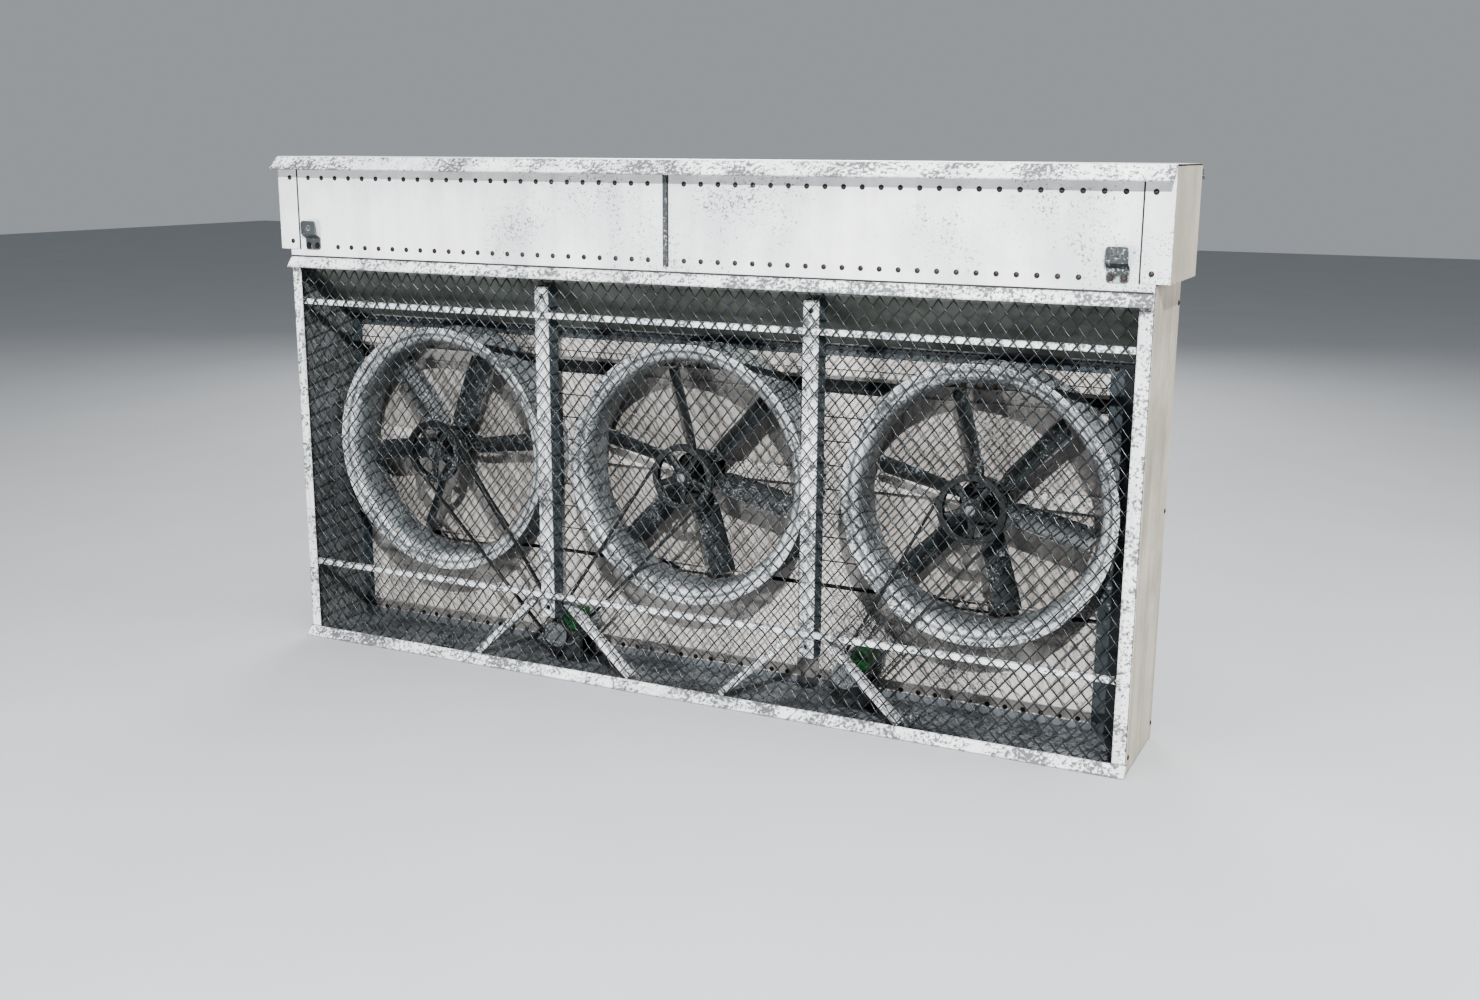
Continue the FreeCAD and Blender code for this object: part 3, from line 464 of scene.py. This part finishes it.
def wirePoints(foot, rise, reach, up, index, feet):
    # one wire, bent over and under the wires that it crosses
    low, high, left, right, middle = reach
    span = (high - low) / rise
    half = guard["cellWidth"] / 2
    start, end = max(foot, left), min(foot + span, right)
    if end - start < guard["cellWidth"]:
        return []
    clear = half * guard["endShare"]
    stops = [(start, 0.0)]
    for j, other in enumerate(feet):
        x = (span + foot + other) / 2
        if start + clear < x < end - clear:
            side = 1 if (index + j) % 2 else -1
            bend = guard["crimp"] * side * (1 if up else -1)
            stops += [(x - half * guard["flat"], bend), (x + half * guard["flat"], bend)]
    stops.append((end, 0.0))
    points = []
    for x, bend in stops:
        z = low + (x - foot) * rise
        points.append((x, middle + bend, z if up else low + high - z))
    return points


def makeGuard():
    low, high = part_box("guard_mesh")
    gap = guard["edgeGap"] + guard["wireRadius"]
    reach = (low.z + gap, high.z - gap, low.x + gap, high.x - gap, (low.y + high.y) / 2)
    rise = guard["cellHeight"] / guard["cellWidth"]
    span = (reach[1] - reach[0]) / rise
    count = int((reach[3] - reach[2] + span) / guard["cellWidth"]) + 1
    feet = [reach[2] - span + guard["cellWidth"] * (i + 0.5) for i in range(count)]
    curve = bpy.data.curves.new("guardWires", "CURVE")
    curve.dimensions = "3D"
    curve.bevel_depth = guard["wireRadius"]
    curve.bevel_resolution = 0
    curve.use_fill_caps = True
    for up in (True, False):
        for index, foot in enumerate(feet):
            points = wirePoints(foot, rise, reach, up, index, feet)
            if points:
                spline = curve.splines.new("POLY")
                spline.points.add(len(points) - 1)
                for point, place in zip(spline.points, points):
                    point.co = (*place, 1.0)
    wires = bpy.data.objects.new("guardWires", curve)
    mesh = bpy.data.meshes.new_from_object(wires)
    bpy.data.objects.remove(wires)
    bpy.data.curves.remove(curve)
    mesh.shade_smooth()
    return finishPiece(mesh, "woven_wire_guard", "wire", "casing", "galvanised", "guard_mesh", smoothAngle=0)


finPack = {"firstFin": 0.002, "pitch": 0.0045, "thickness": 0.0005, "hem": 0.0022, "hemDepth": 0.0035}


def makeFinPack():
    # closely stacked fins, each with a folded front edge
    low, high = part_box("core_fins")
    shape = bmesh.new()
    count = int((high.z - low.z) / finPack["pitch"])
    for i in range(count):
        z = low.z + finPack["firstFin"] + finPack["pitch"] * i
        for front, back, thick in ((low.y, low.y + finPack["hemDepth"], finPack["hem"]),
                                   (low.y + finPack["hemDepth"], high.y, finPack["thickness"])):
            size = Vector((high.x - low.x, back - front, thick))
            centre = Vector(((low.x + high.x) / 2, (front + back) / 2, z))
            bmesh.ops.create_cube(shape, size=1.0,
                                  matrix=Matrix.Translation(centre) @ Matrix.Diagonal((*size, 1.0)))
    return finishPiece(shape, "fin_pack", "finStock", "casing", "core_aluminium", "core_fins", smoothAngle=0)


def spun(outline, centre, steps):
    # a closed outline of (depth, radius) turned about the fan's own axis
    shape = bmesh.new()
    verts = [shape.verts.new((centre.x + radius, depth, centre.z)) for depth, radius in outline]
    edges = [shape.edges.new(pair) for pair in zip(verts, verts[1:] + verts[:1])]
    bmesh.ops.spin(shape, geom=verts + edges, cent=(centre.x, 0, centre.z), axis=(0, 1, 0),
                   angle=math.tau, steps=steps, use_merge=True)
    bmesh.ops.remove_doubles(shape, verts=shape.verts, dist=1e-6)
    bmesh.ops.recalc_face_normals(shape, faces=shape.faces)
    return shape


def addCopies(shape, template, places):
    # one small mesh repeated at a list of matrices
    for place in places:
        start = len(shape.verts)
        shape.from_mesh(template)
        shape.verts.ensure_lookup_table()
        bmesh.ops.transform(shape, matrix=place, verts=shape.verts[start:])


def asMesh(shape, name):
    mesh = bpy.data.meshes.new(name)
    shape.to_mesh(mesh)
    shape.free()
    return mesh


def facing(place, outward):
    # stands a part drawn along +Z on a seat, pointing outward
    return Matrix.Translation(place) @ Vector(outward).to_track_quat("Z", "Y").to_matrix().to_4x4()


def roundAxis(centre, first, count):
    # places round an axis that runs front to back, from a first angle in degrees
    angles = [math.radians(first + 360 / count * k) for k in range(count)]
    return [Matrix.Translation(centre) @ Matrix.Rotation(-angle, 4, "Y") for angle in angles]


cowlShape = {"steps": 128, "frontGap": 0.001, "bell": 0.070, "bellStep": 5.0, "skin": 0.0025,
             "grooveStart": 16.0, "grooveEnd": 26.0, "grooveDepth": 0.0035,
             "bead": 0.0058, "beadReach": 0.0065, "beadDepth": 0.0045, "beadLift": 0.001,
             "beadStart": -70, "beadStep": -25, "throatLength": 0.086, "flareLength": 0.012,
             "flareRise": 0.0035, "coneRise": 0.043, "flange": 0.018}


def cowlOutline(low, high):
    look = cowlShape
    bell, skin = look["bell"], look["skin"]
    lip = (high.x - low.x) / 2 - look["beadReach"]
    front = low.y + look["frontGap"]
    throat = lip - bell
    inner, outer = [], []
    for step in range(19):
        angle = look["bellStep"] * step
        depth = look["grooveDepth"] if look["grooveStart"] <= angle <= look["grooveEnd"] else 0.0
        turn = math.radians(180 + angle)
        for points, radius in ((inner, bell - depth), (outer, bell - depth - skin)):
            points.append((front + bell + radius * math.cos(turn), lip + radius * math.sin(turn)))
    throatEnd = front + bell + look["throatLength"]
    flareEnd, flare = throatEnd + look["flareLength"], throat + look["flareRise"]
    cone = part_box("fan_1_cowl")[1].y
    coneRadius = throat + look["coneRise"]
    inner += [(front + bell + look["throatLength"] * k / 3, throat) for k in (1, 2)]
    inner += [(throatEnd, throat), (flareEnd, flare), (cone - 0.004, coneRadius - 0.002),
              (cone, coneRadius + 0.001), (cone, coneRadius + look["flange"])]
    outer += [(throatEnd, throat + skin), (flareEnd, flare + skin),
              (cone - skin - 0.003, coneRadius + skin - 0.002), (cone - skin, coneRadius + skin + 0.001),
              (cone - skin, coneRadius + look["flange"])]
    roll = []
    for step in range(1, 11):
        # rolled edge, from the back of the lip round to its face
        turn = math.radians(look["beadStart"] + look["beadStep"] * step)
        roll.append((front + look["beadDepth"] + look["bead"] * math.cos(turn),
                     lip + look["beadLift"] - look["bead"] * math.sin(turn)))
    return inner + outer[::-1] + roll


# painted shade: how dark the throat, the outside in the shadow of the lip and the shaded gap line behind the
# bell are, and where
cowlShade = {"throat": 0.92, "fadeFrom": 0.010, "fadeLength": 0.016, "insideSkin": 0.0022, "outside": 0.80,
             "line": 0.95, "lineFrom": 0.0004, "lineTo": 0.0044, "lineRise": 0.03}


def throatShade(radius, depth, lip):
    # share of painted shade at a point of the cowl, by its radius and its depth behind the front
    bell, shade = cowlShape["bell"], cowlShade
    throat = lip - bell
    bellDepth = bell - math.sqrt(max(0.0, bell ** 2 - (lip - radius) ** 2))
    faded = (radius - throat - shade["fadeFrom"]) / shade["fadeLength"]
    value = shade["throat"] * min(1.0, max(0.0, 1.0 - faded))
    inside = depth < bellDepth + shade["insideSkin"] or radius < throat + 0.001
    if not inside and radius < lip - cowlShape["bead"] * 0.5:
        value = shade["outside"]
    if shade["lineFrom"] < depth - bellDepth < shade["lineTo"] and radius > throat + shade["lineRise"]:
        value = shade["line"]
    return value


def makeCowl(index):
    node = "fan_%d_cowl" % index
    low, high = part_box(node)
    centre = (low + high) / 2
    mesh = asMesh(spun(cowlOutline(low, high), centre, cowlShape["steps"]), node)
    lip = (high.x - low.x) / 2 - cowlShape["beadReach"]
    front = low.y + cowlShape["frontGap"]
    # painted shade at each point: dark throat, dark outside behind the lip and a dark gap line
    shade = mesh.attributes.new("throat", "FLOAT", "POINT")
    for vert, value in zip(mesh.vertices, shade.data):
        radius = math.hypot(vert.co.x - centre.x, vert.co.z - centre.z)
        value.value = throatShade(radius, vert.co.y - front, lip)
    return finishPiece(mesh, "spun_cowl_%d" % index, "cowlPaintAndShade", "casing", "white_paint", node)


blade = {"twist": 10.0, "camber": 0.010, "camberFrom": 0.25, "thickness": 0.0030, "along": 14, "across": 6,
         "root": 0.012, "rootTaper": 0.30, "rootShare": 0.14, "tipTaper": 0.06, "tipShare": 0.965,
         "edge": 0.0009}
rootPlate = {"place": (0.030, 0.0, 0.0), "size": (0.062, 0.0105, 0.050), "edge": 0.002,
             "boltAlong": (0.016, 0.044), "boltAcross": (-0.013, 0.013), "boltSeat": 0.0065,
             "boltFoot": 0.0058, "boltTop": 0.0054, "boltHeight": 0.0045}
fans = [{"hand": 1, "first": 8.0}, {"hand": -1, "first": 46.0}, {"hand": -1, "first": 46.0}]
rotor = {"blades": 6, "pitch": 42.0, "chord": 0.102, "tip": 0.422, "hub": 0.085}


def bladeTemplate(hand):
    # a cambered, slightly twisted sheet blade with a bolted root plate, drawn along +X
    shape = bmesh.new()
    bmesh.ops.create_grid(shape, x_segments=blade["along"], y_segments=blade["across"], size=0.5)
    root = rotor["hub"] + blade["root"]
    length = rotor["tip"] - root
    for vert in shape.verts:
        along, across = vert.co.x + 0.5, vert.co.y
        taper = 1.0 - blade["rootTaper"] * max(0.0, 1.0 - along / blade["rootShare"]) ** 2
        corner = max(0.0, (along - blade["tipShare"]) / (1.0 - blade["tipShare"]))
        taper -= blade["tipTaper"] * corner
        lift = blade["camber"] * (1 - (2 * across) ** 2) * min(1.0, along / blade["camberFrom"])
        angle = hand * math.radians(rotor["pitch"] + blade["twist"] * (0.5 - along))
        z = across * rotor["chord"] * taper
        y = hand * lift - hand * blade["camber"] * 0.5
        vert.co = Vector((root + along * length, y * math.cos(angle) - z * math.sin(angle),
                          y * math.sin(angle) + z * math.cos(angle)))
    bmesh.ops.solidify(shape, geom=shape.faces, thickness=blade["thickness"])
    rim = [edge for edge in shape.edges if edge.calc_face_angle(0) > 1.0]
    bmesh.ops.bevel(shape, geom=rim, offset=blade["edge"], offset_type="OFFSET", affect="EDGES", segments=2,
                    profile=0.5, material=-1)
    plate = Matrix.Rotation(hand * math.radians(rotor["pitch"] + blade["twist"] * 0.4), 4, "X")
    middle = Vector((rotor["hub"], 0.0, 0.0)) + Vector(rootPlate["place"])
    made = bmesh.ops.create_cube(shape, size=1.0, matrix=plate @ Matrix.Translation(middle)
                                 @ Matrix.Diagonal((*rootPlate["size"], 1.0)))
    edges = list({edge for vert in made["verts"] for edge in vert.link_edges})
    bmesh.ops.bevel(shape, geom=edges, offset=rootPlate["edge"], offset_type="OFFSET", affect="EDGES",
                    segments=2, profile=0.5, material=-1)
    for x, z, side in product(rootPlate["boltAlong"], rootPlate["boltAcross"], (-1, 1)):
        seat = plate @ Vector((rotor["hub"] + x, side * rootPlate["boltSeat"], z))
        out = plate.to_3x3() @ Vector((0, side, 0))
        bmesh.ops.create_cone(shape, cap_ends=True, segments=6, radius1=rootPlate["boltFoot"],
                              radius2=rootPlate["boltTop"], depth=rootPlate["boltHeight"],
                              matrix=facing(seat, out))
    return asMesh(shape, "bladeTemplate")


def makeBlades(index):
    fan = fans[index - 1]
    node = "fan_%d_blades" % index
    hubLow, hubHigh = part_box("fan_%d_hub" % index)
    template = bladeTemplate(fan["hand"])
    shape = bmesh.new()
    addCopies(shape, template, roundAxis((hubLow + hubHigh) / 2, fan["first"], rotor["blades"]))
    bpy.data.meshes.remove(template)
    return finishPiece(shape, "blades_%d" % index, "bladePaint", "fan_%d" % index, "blade_paint", node,
                       smoothAngle=30)


hub = {"bore": 0.0177, "bolts": 12, "boltCircle": 0.066, "boltSeat": 0.0085, "headFoot": 0.0066,
       "headTop": 0.0060, "headHeight": 0.007, "washer": 0.0085, "washerHeight": 0.002, "washerPlace": -0.004}


def makeHub(index):
    # cast hub with a dished face, a rim flange and a ring of clamp bolts
    node = "fan_%d_hub" % index
    low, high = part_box(node)
    centre = (low + high) / 2
    f, b, r = low.y, high.y, (high.x - low.x) / 2
    outline = [(f, hub["bore"]), (f, 0.034), (f + 0.003, 0.037), (f + 0.020, 0.040), (f + 0.023, 0.044),
               (f + 0.023, 0.050), (f + 0.012, 0.054), (f + 0.012, 0.076), (f + 0.003, r - 0.004),
               (f + 0.001, r - 0.002), (f + 0.003, r), (f + 0.020, r), (f + 0.023, r - 0.004),
               (b - 0.023, r - 0.004), (b - 0.020, r), (b - 0.003, r), (b, r - 0.004), (b, 0.050),
               (b - 0.004, 0.046), (b - 0.004, hub["bore"])]
    shape = spun(outline, centre, 64)
    head = bmesh.new()
    bmesh.ops.create_cone(head, cap_ends=True, segments=6, radius1=hub["headFoot"], radius2=hub["headTop"],
                          depth=hub["headHeight"])
    bmesh.ops.create_cone(head, cap_ends=True, segments=12, radius1=hub["washer"], radius2=hub["washer"],
                          depth=hub["washerHeight"], matrix=Matrix.Translation((0, 0, hub["washerPlace"])))
    template = asMesh(head, "hubBolt")
    places = []
    for k in range(hub["bolts"]):
        angle = math.tau * (k + 0.5) / hub["bolts"]
        seat = Vector((centre.x + hub["boltCircle"] * math.cos(angle), f + hub["boltSeat"],
                       centre.z + hub["boltCircle"] * math.sin(angle)))
        places.append(facing(seat, (0, -1, 0)))
    addCopies(shape, template, places)
    bpy.data.meshes.remove(template)
    return finishPiece(shape, "fan_hub_%d" % index, "blackIron", "fan_%d" % index, "black_iron", node,
                       smoothAngle=35)


pulleyShape = {"rimInset": 0.004, "rimWidth": 0.026, "rimInner": 0.105, "grooveWidth": 0.013,
               "grooveDepth": 0.010, "boss": 0.042, "bore": 0.0176, "spokes": 5, "spokeWidth": 0.030,
               "spokeTaper": 0.72,
               "spokeDepth": 0.012, "spokeTip": 0.85, "spokeEdge": 0.004, "spokeSink": 0.003,
               "firstSpoke": 54.0}


def makePulley(index):
    # open cast pulley: grooved rim, five tapered spokes and a stepped boss
    node = "fan_%d_pulley" % index
    low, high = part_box(node)
    centre, radius = (low + high) / 2, (high.x - low.x) / 2
    look = pulleyShape
    front = low.y + look["rimInset"]
    back = front + look["rimWidth"]
    middle, half = (front + back) / 2, look["grooveWidth"] / 2
    inner, bottom = look["rimInner"], radius - look["grooveDepth"]
    rim = [(front, inner + 0.002), (front, radius - 0.001), (front + 0.001, radius), (middle - half, radius),
           (middle - half, bottom), (middle + half, bottom), (middle + half, radius), (back - 0.001, radius),
           (back, radius - 0.001), (back, inner + 0.002), (back - 0.003, inner), (front + 0.003, inner)]
    shape = spun(rim, centre, 96)
    boss = [(low.y, look["bore"]), (low.y, 0.024), (low.y + 0.001, 0.025), (front, 0.026),
            (front + 0.002, look["boss"]), (back, look["boss"]), (back + 0.002, 0.028), (high.y, 0.028),
            (high.y, look["bore"])]
    bossMesh = asMesh(spun(boss, centre, 48), "boss")
    shape.from_mesh(bossMesh)
    bpy.data.meshes.remove(bossMesh)
    spoke = bmesh.new()
    start, end = look["boss"] - look["spokeSink"], inner + look["spokeSink"]
    size = (end - start, look["spokeDepth"], look["spokeWidth"], 1.0)
    made = bmesh.ops.create_cube(spoke, size=1.0, matrix=Matrix.Translation(((start + end) / 2, 0, 0))
                                 @ Matrix.Diagonal(size))
    tips = [vert for vert in made["verts"] if vert.co.x > (start + end) / 2]
    bmesh.ops.scale(spoke, vec=(1, look["spokeTip"], look["spokeTaper"]), verts=tips)
    long = [edge for edge in spoke.edges if abs(edge.verts[0].co.x - edge.verts[1].co.x) > (end - start) / 2]
    bmesh.ops.bevel(spoke, geom=long, offset=look["spokeEdge"], offset_type="OFFSET", affect="EDGES",
                    segments=3, profile=0.5, material=-1)
    template = asMesh(spoke, "spoke")
    addCopies(shape, template, roundAxis((centre.x, middle, centre.z), look["firstSpoke"], look["spokes"]))
    bpy.data.meshes.remove(template)
    return finishPiece(shape, "spoked_pulley_%d" % index, "blackIron", "fan_%d" % index, "black_iron", node,
                       smoothAngle=35)


# painted shadow lines: dark beads under the front panels, beside the corner boxes and along the seam batten,
# where these joints fall into shade

seam = {"radius": 0.0031, "sides": 6, "inset": 0.004, "capGap": 0.004, "sunk": 0.3, "raised": 0.6}


def addBead(shape, first, last):
    along = last - first
    turn = along.to_track_quat("Z", "Y").to_matrix().to_4x4()
    place = Matrix.Translation((first + last) / 2) @ turn
    bmesh.ops.create_cone(shape, cap_ends=True, segments=seam["sides"], radius1=seam["radius"],
                          radius2=seam["radius"], depth=along.length, matrix=place)


def makeSeamShadowLines():
    lipLow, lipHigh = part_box("rim_drip_lip")
    panelLow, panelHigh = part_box("left_front_panel")
    battenLow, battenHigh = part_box("seam_batten")
    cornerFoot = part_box("right_corner_box")[0].z
    front = panelLow.y - seam["radius"] * seam["sunk"]
    level = panelLow.z + seam["radius"] * seam["raised"]
    shape = bmesh.new()
    left, right = lipLow.x + seam["inset"], lipHigh.x - seam["inset"]
    addBead(shape, Vector((left, front, level)), Vector((right, front, level)))
    uprights = [(battenLow.x, battenLow.z), (battenHigh.x, battenLow.z),
                (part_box("left_corner_box")[1].x, cornerFoot), (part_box("right_corner_box")[0].x, cornerFoot)]
    for x, foot in uprights:
        addBead(shape, Vector((x, front, foot)), Vector((x, front, panelHigh.z - seam["capGap"])))
    bmesh.ops.recalc_face_normals(shape, faces=shape.faces)
    return finishPiece(shape, "seam_shadow_lines", "shadowLineBlack", "casing", "dark_paint")


slotShade = {"planks": 8, "slot": 0.005, "height": 0.013, "thickness": 0.0003, "opening": 0.489}


def makeSlotShade():
    # painted shade: dark strips behind the slots between the wall planks, where the slots fall into shade,
    # stopped short of the fan openings
    low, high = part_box("wall_planks")
    pitch = (high.z - low.z + slotShade["slot"]) / slotShade["planks"]
    cowls = [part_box("fan_%d_cowl" % index) for index in (1, 2, 3)]
    centres = [(first + last) / 2 for first, last in cowls]
    shape = bmesh.new()
    for row in range(1, slotShade["planks"]):
        z = low.z + pitch * row - slotShade["slot"] / 2
        ends = [low.x]
        for centre in centres:
            half = math.sqrt(max(0.0, slotShade["opening"] ** 2 - (z - centre.z) ** 2))
            ends += [centre.x - half, centre.x + half]
        ends.append(high.x)
        for left, right in zip(ends[::2], ends[1::2]):
            if right - left > slotShade["slot"]:
                size = Vector((right - left, slotShade["thickness"], slotShade["height"]))
                middle = Vector(((left + right) / 2, high.y + slotShade["thickness"], z))
                bmesh.ops.create_cube(shape, size=1.0,
                                      matrix=Matrix.Translation(middle) @ Matrix.Diagonal((*size, 1.0)))
    return finishPiece(shape, "plank_slot_shade", "shadowLineBlack", "casing", "dark_paint", smoothAngle=0)


boltHead = {"domeRadius": 0.0078, "domeHeight": 0.0042, "washerRadius": 0.0100, "washerHeight": 0.0012,
            "domeSides": 12, "domeRings": 8, "domeCut": 0.0008, "washerTaper": 0.95,
            "hexRadius": 0.0088, "hexHeight": 0.0058, "hexTaper": 0.94,
            "hexWasher": 0.0125, "hexWasherTop": 0.0122, "hexWasherHeight": 0.0018}
# how the heads of the CAD group are told apart
boltSigns = {"thin": 0.012, "shankRadius": 0.0065, "hexLength": 0.014}


def boltPlaces():
    # seat and outward direction of each head in the CAD group, and whether it is a hexagon
    copy = bmesh.new()
    copy.from_mesh(nodes["bolts_and_rivets"].data)
    bmesh.ops.remove_doubles(copy, verts=copy.verts, dist=1e-5)
    copy.verts.ensure_lookup_table()
    seen = set()
    places = []
    for first in copy.verts:
        if first.index in seen:
            continue
        seen.add(first.index)
        island, queue = [], [first]
        while queue:
            vert = queue.pop()
            island.append(vert.co.copy())
            for edge in vert.link_edges:
                other = edge.other_vert(vert)
                if other.index not in seen:
                    seen.add(other.index)
                    queue.append(other)
        low = Vector([min(p[k] for p in island) for k in range(3)])
        high = Vector([max(p[k] for p in island) for k in range(3)])
        axis = 0 if high.x - low.x < boltSigns["thin"] else 1
        middle = (low + high) / 2
        sides = [k for k in range(3) if k != axis]
        ring = [p[axis] for p in island
                if sum((p[k] - middle[k]) ** 2 for k in sides) > boltSigns["shankRadius"] ** 2]
        outward = Vector((0, 0, 0))
        if high[axis] - max(ring) > min(ring) - low[axis]:
            outward[axis], seat = -1, max(ring)
        else:
            outward[axis], seat = 1, min(ring)
        middle[axis] = seat
        places.append((facing(middle, outward), high[axis] - low[axis] > boltSigns["hexLength"]))
    copy.free()
    return places


def makeBolts():
    look = boltHead
    dome = bmesh.new()
    bmesh.ops.create_uvsphere(dome, u_segments=look["domeSides"], v_segments=look["domeRings"],
                              radius=look["domeRadius"])
    geometry = dome.verts[:] + dome.edges[:] + dome.faces[:]
    bmesh.ops.bisect_plane(dome, geom=geometry, plane_co=(0, 0, look["domeCut"]), plane_no=(0, 0, 1),
                           clear_inner=True)
    bmesh.ops.holes_fill(dome, edges=dome.edges[:])
    bmesh.ops.scale(dome, vec=(1, 1, look["domeHeight"] / look["domeRadius"]), verts=dome.verts)
    bmesh.ops.create_cone(dome, cap_ends=True, segments=look["domeSides"], radius1=look["washerRadius"],
                          radius2=look["washerRadius"] * look["washerTaper"], depth=look["washerHeight"],
                          matrix=Matrix.Translation((0, 0, look["washerHeight"] / 2)))
    hexagon = bmesh.new()
    bmesh.ops.create_cone(hexagon, cap_ends=True, segments=6, radius1=look["hexRadius"],
                          radius2=look["hexRadius"] * look["hexTaper"], depth=look["hexHeight"],
                          matrix=Matrix.Translation((0, 0, look["hexHeight"] / 2)))
    bmesh.ops.create_cone(hexagon, cap_ends=True, segments=16, radius1=look["hexWasher"],
                          radius2=look["hexWasherTop"], depth=look["hexWasherHeight"],
                          matrix=Matrix.Translation((0, 0, look["hexWasherHeight"] / 2)))
    domeMesh, hexMesh = asMesh(dome, "dome"), asMesh(hexagon, "hexagon")
    shape = bmesh.new()
    places = boltPlaces()
    addCopies(shape, domeMesh, [place for place, isHex in places if not isHex])
    addCopies(shape, hexMesh, [place for place, isHex in places if isHex])
    print("bolt heads:", len(places))
    return finishPiece(shape, "bolt_and_rivet_heads", "boltHead", "casing", "bolt_steel", "bolts_and_rivets",
                       smoothAngle=35)


makeGuard()
makeFinPack()
makeBolts()
makeSeamShadowLines()
makeSlotShade()
for index in (1, 2, 3):
    makeCowl(index)
    makeBlades(index)
    makeHub(index)
    makePulley(index)
print("detailed pieces made")


# floor, lights and camera

studio = {"floorSize": 60.0, "floorGap": 0.0005, "floorTone": (0.42, 0.43, 0.44),
          "floorSecond": (0.46, 0.47, 0.48), "floorScale": 1.2, "floorRough": 0.8,
          "sky": (0.86, 0.90, 0.95), "skyStrength": 0.30, "aim": (0, 0, 1.0), "exposure": 0.1}
# the small key throws crisp shadows of the guard; top, rim and back are broad
lights = {
    "key": {"place": (4.2, -8.3, 6.8), "size": 0.11, "power": 1450.0},
    "fill": {"place": (-2.6, -8.0, 0.7), "size": 0.5, "power": 215.0},
    "top": {"place": (0.5, -2.0, 6.5), "size": 5.0, "power": 200.0},
    "rim": {"place": (7.5, 1.0, 3.2), "size": 3.0, "power": 200.0},
    "back": {"place": (-3.5, 8.5, 5.5), "size": 5.0, "power": 420.0},
}


def makeFloor():
    mesh = bpy.data.meshes.new("studioFloor")
    shape = bmesh.new()
    bmesh.ops.create_grid(shape, x_segments=2, y_segments=2, size=studio["floorSize"] / 2)
    shape.to_mesh(mesh)
    shape.free()
    floor = bpy.data.objects.new("studioFloor", mesh)
    bpy.context.scene.collection.objects.link(floor)
    floor.location.z = cadLow.z - studio["floorGap"]
    material = bpy.data.materials.new("paleFloor")
    material.use_nodes = True
    tree = material.node_tree
    shader = tree.nodes["Principled BSDF"]
    coords = addNode(tree, "ShaderNodeTexCoord").outputs["Object"]
    cloud = noise(tree, coords, studio["floorScale"])
    tone = mixColour(tree, cloud, studio["floorTone"], studio["floorSecond"])
    tree.links.new(tone, shader.inputs["Base Color"])
    shader.inputs["Roughness"].default_value = studio["floorRough"]
    mesh.materials.append(material)


def addLight(name, look):
    data = bpy.data.lights.new(name, "AREA")
    data.size = look["size"]
    data.energy = look["power"]
    light = bpy.data.objects.new(name, data)
    light.location = look["place"]
    aim = Vector(studio["aim"]) - light.location
    light.rotation_euler = aim.to_track_quat("-Z", "Y").to_euler()
    bpy.context.scene.collection.objects.link(light)


makeFloor()
for lightName, look in lights.items():
    addLight(lightName + "Light", look)

world = bpy.data.worlds.new("studioAir")
world.use_nodes = True
air = world.node_tree.nodes["Background"]
air.inputs["Color"].default_value = (*studio["sky"], 1.0)
air.inputs["Strength"].default_value = studio["skyStrength"]
bpy.context.scene.world = world

view = {"place": (2.801, -5.318, 2.110), "yaw": 0.4538, "pitch": -0.2224, "roll": 0.0056, "lens": 37.72,
        "sensor": 36.0}


def addCamera():
    data = bpy.data.cameras.new("viewCamera")
    data.lens = view["lens"]
    data.sensor_width = view["sensor"]
    camera = bpy.data.objects.new("viewCamera", data)
    yaw, pitch, turn = view["yaw"], view["pitch"], view["roll"]
    forward = Vector((-math.sin(yaw) * math.cos(pitch), math.cos(yaw) * math.cos(pitch), math.sin(pitch)))
    right = Vector((math.cos(yaw), math.sin(yaw), 0.0))
    up = right.cross(forward)
    side = right * math.cos(turn) + up * math.sin(turn)
    top = up * math.cos(turn) - right * math.sin(turn)
    turned = Matrix((side, top, -forward)).transposed().to_4x4()
    camera.matrix_world = Matrix.Translation(view["place"]) @ turned
    bpy.context.scene.collection.objects.link(camera)
    bpy.context.scene.camera = camera


addCamera()
settings = bpy.context.scene.view_settings
settings.view_transform = "AgX"
settings.look = "AgX - High Contrast"
settings.exposure = studio["exposure"]
print("floor, lights and camera placed")
